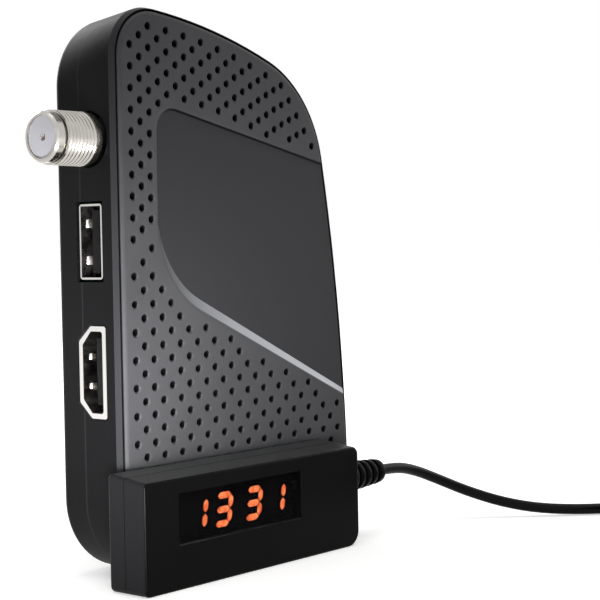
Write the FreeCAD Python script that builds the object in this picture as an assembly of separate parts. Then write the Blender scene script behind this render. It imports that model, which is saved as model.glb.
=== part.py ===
"""Mini satellite television receiver with its wired clock display.

The receiver stands on its short end. X runs across its face, Y runs from its face to its
back, Z is up. The origin is on the floor, about under the receiver's middle, on the middle
line of the sockets in its side. Millimetres.
"""
import FreeCAD, Part
import math
import os

V = FreeCAD.Vector
AXIS_X = V(1, 0, 0)
AXIS_Y = V(0, 1, 0)
AXIS_Z = V(0, 0, 1)

# ---- receiver case -------------------------------------------------------------------------
CASE_DEPTH = 16.0
FACE_Y = -7.4
BACK_Y = FACE_Y + CASE_DEPTH
LEFT_X = -30.8
BOTTOM_RIGHT_X = 31.9
RIGHT_SIDE_MID = (29.2, 49.0)
TOP_RIGHT = (22.4, 88.0)
TOP_MID = (-4.5, 97.5)
TOP_LEFT_Z = 100.5
CORNER_BOTTOM = 14.0
CORNER_TOP_LEFT = 9.0
CORNER_TOP_LEFT_BACK = 13.5
CORNER_TOP_LEFT_INSIDE = 12.0
CORNER_TOP_RIGHT = 24.0
WALL = 1.6
LIP = 0.45
COVER_GAP = 0.25
RIM_DROP = 0.5
RIM_BEVEL_IN = 0.3
RIM_BEVEL_LONG = 1.3
COVER_THICK = 1.7
COVER_EDGE_ROUND = 0.9
BACK_WALL = 1.8
BACK_EDGE_ROUND = 1.5
FLOOR_EDGE_ROUND = 0.8
LEDGE_Y = FACE_Y + COVER_THICK
FLOOR_Y = BACK_Y - BACK_WALL

# ---- smooth panel sunk into the face ---------------------------------------------------------
PANEL_LEFT = -21.3
PANEL_TOP_LEFT_Z = 83.7
PANEL_TOP_SLOPE = -0.205
PANEL_LOW_LEFT_Z = 51.0
PANEL_LOW_SLOPE = -0.449
PANEL_FAR_X = 45.0
PANEL_DEPTH = 0.6
PANEL_CORNER_TOP = 4.2
PANEL_CORNER_LOW = 18.0
FAR_CORNER = 2.0
BEVEL_SIDE = 0.35
BEVEL_LOW_LEFT = 2.6
BEVEL_LOW_RIGHT = 1.15
PANEL_RIM = 0.3
PANEL_RIM_DEEP = 0.15

# ---- ventilation holes in the face and slots in the back -------------------------------------
HOLE_R = 0.63
HOLE_MOUTH_R = 0.88
HOLE_MOUTH_DEEP = 0.22
HOLE_STEP_X = 2.21
HOLE_STEP_LOW = 2.425
HOLE_STEP_TOP = 1.86
HOLE_COLUMNS = 32
HOLE_ROWS = 60
HOLE_FIRST_X = -27.3
HOLE_FIRST_Z = 4.75
HOLE_TOP_START = 3.6
HOLE_ZONE_SPLIT = 59.5
HOLE_EDGE_CLEAR = 2.9
HOLE_APART = 2.3
HOLE_PANEL_CLEAR = 1.3
SLOT_COUNT = 10
SLOT_STEP = 3.0
SLOT_WIDE = 1.2
SLOT_Z = (62.0, 76.0)

# ---- screws, feet and label ------------------------------------------------------------------
SCREW_SPOTS = ((-24.0, 14.5), (24.5, 14.5), (-24.0, 90.0), (13.5, 83.5))
SCREW_R = 1.0
SCREW_HEAD_R = 1.9
SCREW_HEAD_H = 1.1
SCREW_SUNK = 0.2
SCREW_PLAY = 0.1
HEAD_PLAY = 0.3
HEAD_ROUND = 0.4
CROSS_LONG = 2.2
CROSS_WIDE = 0.5
CROSS_DEEP = 0.6
BOSS_R = 2.4
BOSS_BITE = 0.15
BOSS_SOLID = 0.6
SCREW_TIP_GAP = 1.0
FOOT_SPOTS = ((-20.0, 24.0), (20.0, 24.0), (-20.0, 78.0), (18.5, 70.0))
FOOT_R = 3.5
FOOT_TALL = 1.2
FOOT_ROUND = 0.5
LABEL_HALF_WIDE = 17.0
LABEL_Z = (33.0, 55.0)
LABEL_THICK = 0.12
LABEL_CORNER = 1.5

# ---- board and what stands on it: x from, x to, z from, z to, height ---------------------------
BOARD_Y = 2.9
BOARD_THICK = 1.2
BOARD_INSET = 2.5
BOARD_HOLE_PLAY = 0.4
TUNER_CHIP = (-20.0, -12.0, 71.0, 79.0, 1.2)
PROCESSOR = (-4.0, 10.0, 41.0, 55.0, 1.4)
MEMORY_CHIP = (-14.5, -9.0, 42.0, 54.0, 1.1)
FLASH_CHIP = (-4.0, 2.0, 29.5, 34.5, 1.8)
CRYSTAL = (-16.0, -5.5, 61.0, 65.4, 3.4)
CRYSTAL_CORNER = 2.0
TUNER = (-26.4, -5.0, 68.5, 85.5, 6.0)
TUNER_SHEET = 0.4
LID_HOLES = 3
LID_HOLE_FIRST = 6.0
LID_HOLE_STEP = 5.0
LID_HOLE_R = 0.9
PAD_THICK = 0.5
HEATSINK = (-7.0, 13.0, 38.0, 58.0)
HEATSINK_BASE = 1.3
FIN_COUNT = 7
FIN_STEP = 3.2
FIN_THICK = 0.8
FIN_TALL = 3.2
CAPACITOR_SPOTS = ((18.5, 20.0), (10.5, 18.0), (2.5, 18.0))
CAPACITOR_R = 3.0
CAPACITOR_TALL = 5.6
CAPACITOR_BASE = (3.2, 0.6)
CAPACITOR_ROUND = 0.5
COIL_SPOTS = ((-14.5, 18.0), (-6.5, 18.0))
COIL_HALF = 3.0
COIL_TALL = 2.8
COIL_CORNER = 0.8
REGULATOR_X = (-20.5, -12.5)
REGULATOR_Z = (25.0, 28.6)
REGULATOR_BODY = (3.2, 1.7)
REGULATOR_TAB = (1.6, 0.5)
REGULATOR_TAB_Z = 30.4

# ---- sockets on the left side ----------------------------------------------------------------
F_Z = 77.1
F_THREAD_R = 4.7
F_THREAD_LEN = 7.6
F_COLLAR_LEN = 0.9
F_NOSE_R = 4.35
F_NOSE_LEN = 1.9
F_NOSE_ROUND = 0.35
F_BORE_R = 3.6
F_BORE_DEEP = 6.0
F_NECK_R = 4.5
F_NECK_END = LEFT_X + WALL + 0.6
F_TAIL_R = 2.6
F_TAIL_BORE_R = 2.0
F_TAIL_END = TUNER[0] + 1.5
F_END_X = LEFT_X - F_COLLAR_LEN - F_THREAD_LEN - F_NOSE_LEN
CONTACT_R = 0.65
CONTACT_BORE_R = 0.4
CONTACT_BACK = 1.2
CONTACT_BORE_DEEP = 8.0
CONTACT_SPLIT = (5.0, 0.16)
OPENING_PLAY = 0.25
SHEET = 0.35
USB_Z = 59.4
USB_LONG = 13.1
USB_TALL = 5.7
USB_DEEP = 14.0
USB_SET_BACK = 0.3
USB_CORNER = 0.6
USB_PLAY = 0.45
USB_SPRING_X = (2.2, 6.0)
USB_SPRING_Z = (-3.2, 3.2)
USB_SPRING_WIDE = 2.0
USB_TONGUE_X = (1.2, 11.0)
USB_TONGUE_Y = (-0.95, 0.85)
USB_TONGUE_WIDE = 11.0
USB_CONTACT_Z = (-3.5, -1.0, 1.0, 3.5)
USB_CONTACT_WIDE = 1.0
USB_CONTACT_THICK = 0.15
USB_CONTACT_START = 1.8
HDMI_Z = 36.7
HDMI_LONG = 15.0
HDMI_TALL = 5.7
HDMI_DEEP = 11.5
HDMI_NARROW = 10.0
HDMI_SHOULDER = 0.35
HDMI_CORNER = 0.5
HDMI_SET_BACK = 0.1
HDMI_PLAY = 0.75
HDMI_LIP = 0.55
HDMI_LIP_THICK = 0.5
HDMI_TONGUE_X = (1.5, 8.5)
HDMI_TONGUE_Y = (-0.9, 0.5)
HDMI_TONGUE_WIDE = 11.6
HDMI_CONTACT_START = 2.0
HDMI_CONTACT_WIDE = 0.4
HDMI_CONTACT_THICK = 0.1

# ---- sockets on the right side ---------------------------------------------------------------
POWER_Z = 30.0
AV_Z = 44.0
DISPLAY_Z = 56.0
JACK_BORE_R = 1.8
POWER_BORE_R = 2.0
POWER_PIN_R = 0.65
POWER_PIN_SUNK = 1.6
JACK_DEEP = 11.0
JACK_BACK = 0.9
JACK_LONG = 9.5
JACK_HALF_WIDE = 3.4
JACK_FACE_Y = -3.2
JACK_SET_BACK = 0.9
COLLAR_R = 3.1
COLLAR_SUNK = 0.2
COLLAR_PLAY = 0.15

# ---- clock display unit ----------------------------------------------------------------------
UNIT_LEFT = -35.2
UNIT_RIGHT = 22.4
UNIT_BACK = FACE_Y - 0.6
UNIT_DEPTH = 8.8
UNIT_FRONT = UNIT_BACK - UNIT_DEPTH
UNIT_TALL = 20.2
UNIT_FRONT_DROP = 1.1
UNIT_SEAM = UNIT_BACK - 3.9
UNIT_WALL = 1.2
UNIT_GAP = 0.1
UNIT_FOOT_LEFT_ROUND = 1.2
UNIT_FOOT_RIGHT_ROUND = 3.0
UNIT_TOP_RIGHT_ROUND = 1.6
UNIT_TOP_LEFT_ROUND = 0.8
UNIT_EDGE_ROUND = 0.45
UNIT_SCREW_X = (-32.0, 18.6)
UNIT_SCREW_Z = 15.5
UNIT_SCREW_R = 0.6
UNIT_BOSS_R = 1.5
UNIT_HEAD_R = 1.15
UNIT_HEAD_SINK = 0.8
UNIT_SLOT = (0.15, 0.7, 0.3)
PAD = (-24.8, 11.8, 4.2, 15.8)
PAD_SEAT_PLAY = 0.2
PAD_SUNK = 0.5
WINDOW = (-27.2, 5.0, 7.7, 16.6)
WINDOW_THICK = 1.2
WINDOW_SUNK = 0.05
LAMP_Y = UNIT_FRONT + WINDOW_THICK + 0.15
LAMP_BLOCK = (-26.3, 4.1, 7.3, 17.0)
LAMP_DEEP = 4.2
DIGIT_CENTRES = (-21.1, -14.7, -6.75, -0.35)
DIGIT_Z = 12.0
DIGIT_TALL = 6.1
DIGIT_WIDE = 4.7
DIGIT_LINE = 1.15
DIGIT_GAP = 0.12
DIGIT_SLANT = 0.14
DIGIT_THICK = 0.5
DIGITS_SHOWN = "1331"
LIT_BARS = {"1": "bc", "3": "abcdg"}
UNIT_BOARD = (-33.5, 19.5, 1.8, 13.4)
UNIT_BOARD_Y = LAMP_Y + LAMP_DEEP
UNIT_BOARD_THICK = 0.8
EYE = (9.0, 14.0, 5.5, 12.0)
EYE_THICK = 2.6
EYE_LENS_R = 2.0
EYE_LENS_Z = 9.0
EYE_LENS_TALL = 1.0
DRIVER_CHIP = (-16.0, -6.0, 4.5, 9.5)
DRIVER_CHIP_THICK = 1.1
LEADS_Y = (UNIT_FRONT + UNIT_BACK) / 2
LEADS_Z = 12.6

# ---- lead of the display unit ----------------------------------------------------------------
CORD_D = 2.2
RELIEF_END = 34.2
RELIEF_R = 3.15
RELIEF_TAPER = 0.068
RELIEF_NECK_R = 2.0
RELIEF_FLANGE = (20.2, 21.1, 3.0)
RELIEF_COLLAR = 2.4
RELIEF_GROOVES = 4
RELIEF_STEP = 2.2
RELIEF_GROOVE = 0.65
RELIEF_GROOVE_SLOPE = 0.1
RELIEF_END_ROUND = 0.5
COIL_CENTRE = (78.0, -60.0)
COIL_PITCH = 2.25
COIL_COLUMNS = 4
COIL_LAYERS = 4
COIL_OUTER_TURN = 15.3
COIL_FLOOR_GAP = 0.3
COIL_ROUND = 0.9
TIE_WIDE = 4.0
TIE_TURN = 10.0
ROUTE_OUT = [
    (RELIEF_END, LEADS_Y, LEADS_Z), (40.4, LEADS_Y, LEADS_Z), (46.2, -12.9, 11.3), (51.9, -14.6, 8.9), (57.6, -18.0, 5.9),
    (63.2, -23.56, 3.2), (69.0, -29.36, 1.6), (76.0, -36.36, 1.1), (84.15, -44.51, 1.4),
]
ROUTE_PLUG = [
    (78.0, -75.3, 8.15), (72.5, -75.3, 8.15), (65.5, -74.9, 3.0), (58.5, -74.9, 3.0),
]
PLUG_YAW = 180.0
PLUG_GRIP_R = 2.9
PLUG_GRIP_LONG = 16.5
PLUG_SHOULDER_R = 2.3
PLUG_SHOULDER_END = 17.3
PLUG_PIN_R = 1.75
PLUG_TIP = 31.6
RING_R = 1.4
RINGS = ((21.3, 22.0), (24.4, 25.1), (27.6, 28.2))


# ---- small helpers ---------------------------------------------------------------------------
def save(shape, node):
    """Write one sub-part and print its size."""
    shape = shape.removeSplitter() if len(shape.Solids) == 1 else shape
    shape.exportStep("parts/" + node + ".step")
    print(f"{node:26s} solids {len(shape.Solids):3d}  volume {shape.Volume:10.2f}  valid {shape.isValid()}")


def box(x0, x1, y0, y1, z0, z1):
    return Part.makeBox(x1 - x0, y1 - y0, z1 - z0, V(x0, y0, z0))


def rod(radius, start, end):
    """A cylinder from one point to another."""
    path = end - start
    return Part.makeCylinder(radius, path.Length, start, path)


def cone(r0, r1, start, end):
    path = end - start
    return Part.makeCone(r0, r1, path.Length, start, path)


def edges_where(shape, test):
    return [edge for edge in shape.Edges if test(edge)]


def upright_edges(shape, axis, x=None, z=None, tol=0.05):
    """Edges along axis whose ends have the given x and z."""
    def fits(edge):
        if edge.Curve.TypeId != "Part::GeomLine" or len(edge.Vertexes) != 2:
            return False
        a, b = (v.Point for v in edge.Vertexes)
        along = abs((b - a).normalize().dot(axis)) > 0.999
        near_x = x is None or abs(a.x - x) < tol
        near_z = z is None or abs(a.z - z) < tol
        return along and near_x and near_z
    return edges_where(shape, fits)


def edges_on_plane_y(shape, y, tol=0.01):
    """Edges that lie wholly in the plane Y = y."""
    return edges_where(shape, lambda e: abs(e.BoundBox.YMin - y) < tol and abs(e.BoundBox.YMax - y) < tol)


def polygon_xz(points, y=0.0):
    corners = [V(x, y, z) for x, z in points]
    return Part.Face(Part.makePolygon(corners + corners[:1]))


def polygon_yz(points, x=0.0):
    corners = [V(x, y, z) for y, z in points]
    return Part.Face(Part.makePolygon(corners + corners[:1]))


# ---- rounded outlines ------------------------------------------------------------------------
class Straight:
    """A straight side that runs from start to end with the material on its left."""

    def __init__(self, start, end):
        self.start = start
        self.run = (end - start).normalize()
        self.inward = V(-self.run.z, 0, self.run.x)

    def inset(self, amount):
        moved = self.start + self.inward * amount
        return Straight(moved, moved + self.run)

    def curve(self):
        return Part.Line(self.start, self.start + self.run)

    def touch(self, centre):
        """Where a circle about centre touches this side."""
        return self.start + self.run * (centre - self.start).dot(self.run)

    def piece(self, a, b):
        return Part.LineSegment(a, b)


class Bowed:
    """An outward-bowed side: part of a circle with the material inside it."""

    def __init__(self, centre, radius):
        self.centre = centre
        self.radius = radius

    def inset(self, amount):
        return Bowed(self.centre, self.radius - amount)

    def curve(self):
        return Part.Circle(self.centre, AXIS_Y, self.radius)

    def touch(self, centre):
        return self.centre + (centre - self.centre).normalize() * self.radius

    def piece(self, a, b):
        middle = self.touch((a + b) / 2)
        return Part.Arc(a, middle, b)


def bowed_through(a, b, c):
    circle = Part.Arc(a, b, c).toShape().Curve
    return Bowed(circle.Center, circle.Radius)


def rounded_face(sides, corners, inset=0.0):
    """A face from sides in order, with a round corner of its own radius after each side.

    corners holds a rough place and a radius for the corner between each side and the next.
    """
    arcs = []
    for i, (near, radius) in enumerate(corners):
        first = sides[i].inset(inset)
        second = sides[(i + 1) % len(sides)].inset(inset)
        bend = radius - inset
        hits = first.inset(bend).curve().intersectCC(second.inset(bend).curve())
        centre = min((V(h.X, 0, h.Z) for h in hits), key=lambda p: (p - near).Length)
        a = first.touch(centre)
        b = second.touch(centre)
        middle = centre + ((a + b) / 2 - centre).normalize() * bend
        arcs.append((a, middle, b))
    edges = []
    for i, (a, middle, b) in enumerate(arcs):
        side = sides[i].inset(inset)
        edges.append(side.piece(arcs[i - 1][2], a).toShape())
        edges.append(Part.Arc(a, middle, b).toShape())
    return Part.Face(Part.Wire(edges))


# ---- receiver outline ------------------------------------------------------------------------
FOOT_LEFT = V(LEFT_X, 0, 0)
FOOT_RIGHT = V(BOTTOM_RIGHT_X, 0, 0)
SHOULDER_RIGHT = V(TOP_RIGHT[0], 0, TOP_RIGHT[1])
SHOULDER_LEFT = V(LEFT_X, 0, TOP_LEFT_Z)
RIGHT_SIDE = bowed_through(FOOT_RIGHT, V(RIGHT_SIDE_MID[0], 0, RIGHT_SIDE_MID[1]), SHOULDER_RIGHT)
TOP_SIDE = bowed_through(SHOULDER_RIGHT, V(TOP_MID[0], 0, TOP_MID[1]), SHOULDER_LEFT)


def case_face(inset=0.0, top_left=CORNER_TOP_LEFT):
    """The face outline: level foot, bowed right side and top, upright left side."""
    sides = [Straight(FOOT_LEFT, FOOT_RIGHT), RIGHT_SIDE, TOP_SIDE, Straight(SHOULDER_LEFT, FOOT_LEFT)]
    corners = [
        (FOOT_RIGHT, CORNER_BOTTOM),
        (SHOULDER_RIGHT, CORNER_TOP_RIGHT),
        (SHOULDER_LEFT, top_left),
        (FOOT_LEFT, CORNER_BOTTOM),
    ]
    return rounded_face(sides, corners, inset)


def outline_at(y, inset=0.0, top_left=CORNER_TOP_LEFT):
    """The outline, drawn in by inset, at depth y."""
    face = case_face(inset, top_left)
    face.translate(V(0, y, 0))
    return face


def case_prism(inset, y0, y1, top_left=CORNER_TOP_LEFT):
    """The outline, drawn in by inset, as a slab from y0 to y1."""
    return outline_at(y0, inset, top_left).extrude(V(0, y1 - y0, 0))


def tub_block(rim_y):
    """The tub's outside: a bevel round its rim, and a rounder upper left corner at its back."""
    sections = [
        outline_at(rim_y, RIM_BEVEL_IN).OuterWire,
        outline_at(rim_y + RIM_BEVEL_LONG).OuterWire,
        outline_at(BACK_Y, 0.0, CORNER_TOP_LEFT_BACK).OuterWire,
    ]
    return Part.makeLoft(sections, True, True)


def right_side_x(z):
    """X of the bowed right side at height z."""
    centre = RIGHT_SIDE.centre
    return centre.x + math.sqrt(RIGHT_SIDE.radius ** 2 - (z - centre.z) ** 2)


# ---- smooth panel ----------------------------------------------------------------------------
def panel_face(y, side, low_left, low_right, inset=0.0):
    """The panel's outline at depth y, drawn in at its sides and along its low edge."""
    left = PANEL_LEFT + side
    reach = PANEL_FAR_X - PANEL_LEFT
    top_z = PANEL_TOP_LEFT_Z - side
    low = V(left, 0, PANEL_LOW_LEFT_Z + low_left)
    low_far = V(PANEL_FAR_X, 0, PANEL_LOW_LEFT_Z + PANEL_LOW_SLOPE * reach + low_right)
    top_far = V(PANEL_FAR_X, 0, top_z + PANEL_TOP_SLOPE * reach)
    top = V(left, 0, top_z)
    sides = [Straight(low, low_far), Straight(low_far, top_far), Straight(top_far, top), Straight(top, low)]
    corners = [(low_far, FAR_CORNER), (top_far, FAR_CORNER), (top, PANEL_CORNER_TOP), (low, PANEL_CORNER_LOW)]
    outline = rounded_face(sides, corners, inset)
    outline.translate(V(0, y, 0))
    return outline


def panel_section(depth, side):
    """The panel's outline at a depth under the face, with its low edge on the bevel."""
    share = depth / PANEL_DEPTH
    return panel_face(FACE_Y + depth, side, BEVEL_LOW_LEFT * share, BEVEL_LOW_RIGHT * share).OuterWire


def panel_cutter():
    """The sunk panel: a small chamfer, a steep wall, and a broad bevel along the low edge."""
    wall = BEVEL_SIDE * PANEL_RIM_DEEP / PANEL_DEPTH
    sections = [
        panel_section(-PANEL_RIM_DEEP, -2 * PANEL_RIM - wall),
        panel_section(PANEL_RIM_DEEP, wall),
        panel_section(PANEL_DEPTH, BEVEL_SIDE),
    ]
    return Part.makeLoft(sections, True, True)


# ---- holes -----------------------------------------------------------------------------------
def hole_spots():
    """Staggered rows: level below, and following the curve of the top edge above."""
    field = case_face(HOLE_EDGE_CLEAR)
    panel = panel_face(0, 0, 0, 0, -HOLE_PANEL_CLEAR)
    centre = TOP_SIDE.centre
    radius = TOP_SIDE.radius
    spots = []
    for column in range(HOLE_COLUMNS):
        x = HOLE_FIRST_X + column * HOLE_STEP_X
        top_z = centre.z + math.sqrt(radius ** 2 - (x - centre.x) ** 2)
        for row in range(column % 2, HOLE_ROWS, 2):
            spots.append((x, HOLE_FIRST_Z + row * HOLE_STEP_LOW, False))
            spots.append((x, top_z - HOLE_TOP_START - row * HOLE_STEP_TOP, True))
    kept = []
    for x, z, upper in spots:
        point = V(x, 0, z)
        crowded = any(math.hypot(x - a, z - b) < HOLE_APART for a, b in kept)
        if (z > HOLE_ZONE_SPLIT) != upper or crowded or panel.isInside(point, 0.001, True):
            continue
        if field.isInside(point, 0.001, True):
            kept.append((x, z))
    return kept


def hole_cutter(x, z):
    """One hole: a straight bore with a small countersunk mouth."""
    mouth = cone(HOLE_MOUTH_R, HOLE_R, V(x, FACE_Y, z), V(x, FACE_Y + HOLE_MOUTH_DEEP, z))
    bore = rod(HOLE_R, V(x, FACE_Y + HOLE_MOUTH_DEEP / 2, z), V(x, LEDGE_Y + 0.01, z))
    return mouth.fuse(bore)


# ---- receiver shells -------------------------------------------------------------------------
def rear_case():
    """The deep tub: sides, back, sockets' openings and screw posts."""
    tub = tub_block(FACE_Y + RIM_DROP)
    tub = tub.makeFillet(BACK_EDGE_ROUND, edges_on_plane_y(tub, BACK_Y))
    hollow = case_prism(WALL, FACE_Y, FLOOR_Y, CORNER_TOP_LEFT_INSIDE)
    hollow = hollow.makeFillet(FLOOR_EDGE_ROUND, edges_on_plane_y(hollow, FLOOR_Y))
    tub = tub.cut(hollow).cut(case_prism(LIP, FACE_Y, LEDGE_Y))
    for x, z in SCREW_SPOTS:
        tub = tub.fuse(rod(BOSS_R, V(x, BOARD_Y + BOARD_THICK, z), V(x, FLOOR_Y + BOSS_BITE, z)))
    under = BACK_Y - SCREW_HEAD_H - SCREW_SUNK
    for x, z in SCREW_SPOTS:
        tub = tub.cut(rod(SCREW_R + SCREW_PLAY, V(x, 0, z), V(x, BACK_Y + 1, z)))
        tub = tub.cut(rod(SCREW_HEAD_R + HEAD_PLAY, V(x, under, z), V(x, BACK_Y + 1, z)))
    return tub.cut(Part.makeCompound(side_openings() + back_slots()))


def side_openings():
    """Holes in the side walls for the sockets."""
    out_left = LEFT_X - 1
    in_left = LEFT_X + WALL + 1
    hdmi = hdmi_profile(HDMI_PLAY).extrude(V(in_left - out_left, 0, 0))
    hdmi.translate(V(out_left, 0, HDMI_Z))
    usb_y = USB_TALL / 2 + USB_PLAY
    usb_z = USB_LONG / 2 + USB_PLAY
    cutters = [
        rod(F_THREAD_R + OPENING_PLAY, V(out_left, 0, F_Z), V(in_left, 0, F_Z)),
        box(out_left, in_left, -usb_y, usb_y, USB_Z - usb_z, USB_Z + usb_z),
        hdmi,
    ]
    for z in (POWER_Z, AV_Z, DISPLAY_Z):
        side = right_side_x(z)
        cutters.append(rod(COLLAR_R + COLLAR_PLAY, V(side - 2 * WALL, 0, z), V(side + 1, 0, z)))
    return cutters


def back_slots():
    """Round-ended ventilation slots through the back."""
    slots = []
    for step in range(SLOT_COUNT):
        x = (step - (SLOT_COUNT - 1) / 2) * SLOT_STEP
        slot = box(x - SLOT_WIDE / 2, x + SLOT_WIDE / 2, FLOOR_Y - 1, BACK_Y + 1, *SLOT_Z)
        slots.append(slot.makeFillet(SLOT_WIDE / 2 - 0.01, upright_edges(slot, AXIS_Y)))
    return slots


def front_cover():
    """The perforated face with its sunk panel and screw bosses."""
    plate = case_prism(LIP + COVER_GAP, FACE_Y, LEDGE_Y)
    plate = plate.makeFillet(COVER_EDGE_ROUND, edges_on_plane_y(plate, FACE_Y))
    plate = plate.cut(panel_cutter())
    spots = hole_spots()
    print("holes in the face:", len(spots))
    plate = plate.cut(Part.makeCompound([hole_cutter(x, z) for x, z in spots]))
    for x, z in SCREW_SPOTS:
        plate = plate.fuse(rod(BOSS_R, V(x, LEDGE_Y - BOSS_BITE, z), V(x, BOARD_Y, z)))
    for x, z in SCREW_SPOTS:
        plate = plate.cut(rod(SCREW_R, V(x, LEDGE_Y + BOSS_SOLID, z), V(x, BOARD_Y, z)))
    return plate


def case_screws():
    """Four cross-head screws from the back, through the board, into the bosses."""
    seat = BACK_Y - SCREW_SUNK
    under = seat - SCREW_HEAD_H
    half = CROSS_LONG / 2
    thin = CROSS_WIDE / 2
    screws = []
    for x, z in SCREW_SPOTS:
        head = rod(SCREW_HEAD_R, V(x, under, z), V(x, seat, z))
        head = head.makeFillet(HEAD_ROUND, edges_on_plane_y(head, seat))
        shank = rod(SCREW_R, V(x, LEDGE_Y + BOSS_SOLID + SCREW_TIP_GAP, z), V(x, under, z))
        upright = box(x - thin, x + thin, seat - CROSS_DEEP, seat, z - half, z + half)
        level = box(x - half, x + half, seat - CROSS_DEEP, seat, z - thin, z + thin)
        screws.append(head.fuse(shank).cut(upright).cut(level))
    return Part.makeCompound(screws)


def rubber_feet():
    """Four low round feet on the back, for lying flat."""
    top = BACK_Y + FOOT_TALL
    feet = []
    for x, z in FOOT_SPOTS:
        foot = rod(FOOT_R, V(x, BACK_Y, z), V(x, top, z))
        feet.append(foot.makeFillet(FOOT_ROUND, edges_on_plane_y(foot, top)))
    return Part.makeCompound(feet)


def rating_label():
    """A bare sticker on the back."""
    label = box(-LABEL_HALF_WIDE, LABEL_HALF_WIDE, BACK_Y, BACK_Y + LABEL_THICK, *LABEL_Z)
    return label.makeFillet(LABEL_CORNER, upright_edges(label, AXIS_Y))


# ---- board and its parts ---------------------------------------------------------------------
def main_board():
    board = case_prism(BOARD_INSET, BOARD_Y, BOARD_Y + BOARD_THICK, CORNER_TOP_LEFT_INSIDE)
    for x, z in SCREW_SPOTS:
        board = board.cut(rod(SCREW_R + BOARD_HOLE_PLAY, V(x, 0, z), V(x, BACK_Y, z)))
    return board


def on_board(x0, x1, z0, z1, height):
    """A block that stands on the board's face."""
    return box(x0, x1, BOARD_Y - height, BOARD_Y, z0, z1)


def tuner_can():
    """Open sheet-metal frame round the tuner."""
    x0, x1, z0, z1, tall = TUNER
    t = TUNER_SHEET
    outer = on_board(x0, x1, z0, z1, tall)
    inner = on_board(x0 + t, x1 - t, z0 + t, z1 - t, tall)
    opening = rod(F_TAIL_R + COLLAR_PLAY, V(x0 - 1, 0, F_Z), V(x0 + 1, 0, F_Z))
    return outer.cut(inner).cut(opening)


def tuner_lid():
    """Press-on lid of the tuner frame, with its alignment holes."""
    x0, x1, z0, z1, tall = TUNER
    lid = box(x0, x1, BOARD_Y - tall - TUNER_SHEET, BOARD_Y - tall, z0, z1)
    for step in range(LID_HOLES):
        x = x0 + LID_HOLE_FIRST + step * LID_HOLE_STEP
        lid = lid.cut(rod(LID_HOLE_R, V(x, FACE_Y, F_Z), V(x, 0, F_Z)))
    return lid


def thermal_pad():
    """Soft pad on the processor."""
    x0, x1, z0, z1, tall = PROCESSOR
    return box(x0, x1, BOARD_Y - tall - PAD_THICK, BOARD_Y - tall, z0, z1)


def heatsink():
    """Finned plate over the processor."""
    x0, x1, z0, z1 = HEATSINK
    seat = BOARD_Y - PROCESSOR[-1] - PAD_THICK
    top = seat - HEATSINK_BASE
    fins = []
    for step in range(FIN_COUNT):
        x = x0 + step * FIN_STEP
        fins.append(box(x, x + FIN_THICK, top - FIN_TALL, top, z0, z1))
    return box(x0, x1, top, seat, z0, z1).multiFuse(fins).removeSplitter()


def capacitors():
    """Three aluminium can capacitors on their square bases."""
    half, base_tall = CAPACITOR_BASE
    top = BOARD_Y - CAPACITOR_TALL
    cans = []
    for x, z in CAPACITOR_SPOTS:
        base = on_board(x - half, x + half, z - half, z + half, base_tall)
        can = rod(CAPACITOR_R, V(x, BOARD_Y - base_tall, z), V(x, top, z))
        cans.append(base.fuse(can.makeFillet(CAPACITOR_ROUND, edges_on_plane_y(can, top))))
    return Part.makeCompound(cans)


def power_coils():
    """Two shielded inductors."""
    blocks = []
    for x, z in COIL_SPOTS:
        block = on_board(x - COIL_HALF, x + COIL_HALF, z - COIL_HALF, z + COIL_HALF, COIL_TALL)
        blocks.append(block.makeFillet(COIL_CORNER, upright_edges(block, AXIS_Y)))
    return Part.makeCompound(blocks)


def regulators():
    """Two small power transistors with their tabs."""
    half, tall = REGULATOR_BODY
    tab_half, tab_tall = REGULATOR_TAB
    blocks = []
    for x in REGULATOR_X:
        body = on_board(x - half, x + half, *REGULATOR_Z, tall)
        tab = on_board(x - tab_half, x + tab_half, REGULATOR_Z[1], REGULATOR_TAB_Z, tab_tall)
        blocks.append(body.fuse(tab))
    return Part.makeCompound(blocks)


def crystal():
    can = on_board(*CRYSTAL)
    return can.makeFillet(CRYSTAL_CORNER, upright_edges(can, AXIS_Y))


# ---- left sockets ----------------------------------------------------------------------------
def on_axis(x):
    """A point on the aerial socket's axis."""
    return V(x, 0, F_Z)


def f_barrel():
    """Threaded barrel of the aerial socket, drawn at its outside thread size."""
    nose_start = F_END_X + F_NOSE_LEN
    seat = F_END_X + F_BORE_DEEP
    barrel = rod(F_THREAD_R, on_axis(LEFT_X), on_axis(nose_start))
    barrel = barrel.fuse(rod(F_NOSE_R, on_axis(nose_start), on_axis(F_END_X)))
    barrel = barrel.fuse(rod(F_NECK_R, on_axis(F_NECK_END), on_axis(LEFT_X)))
    barrel = barrel.fuse(rod(F_TAIL_R, on_axis(F_TAIL_END), on_axis(F_NECK_END)))
    barrel = barrel.cut(rod(F_BORE_R, on_axis(seat), on_axis(F_END_X)))
    barrel = barrel.cut(rod(F_TAIL_BORE_R, on_axis(F_TAIL_END), on_axis(seat)))
    rim = edges_where(barrel, lambda e: abs(e.BoundBox.XMax - F_END_X) < 0.01
                      and e.BoundBox.ZLength > 2 * F_NOSE_R - 0.1)
    return barrel.makeFillet(F_NOSE_ROUND, rim)


def f_insulator():
    """White plastic bush with the small contact hole."""
    front = F_END_X + F_NOSE_ROUND
    seat = F_END_X + F_BORE_DEEP
    bush = rod(F_BORE_R, on_axis(seat), on_axis(front))
    bush = bush.fuse(rod(F_TAIL_BORE_R, on_axis(F_TAIL_END), on_axis(seat)))
    return bush.cut(rod(CONTACT_R, on_axis(F_TAIL_END), on_axis(front - 1)))


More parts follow.
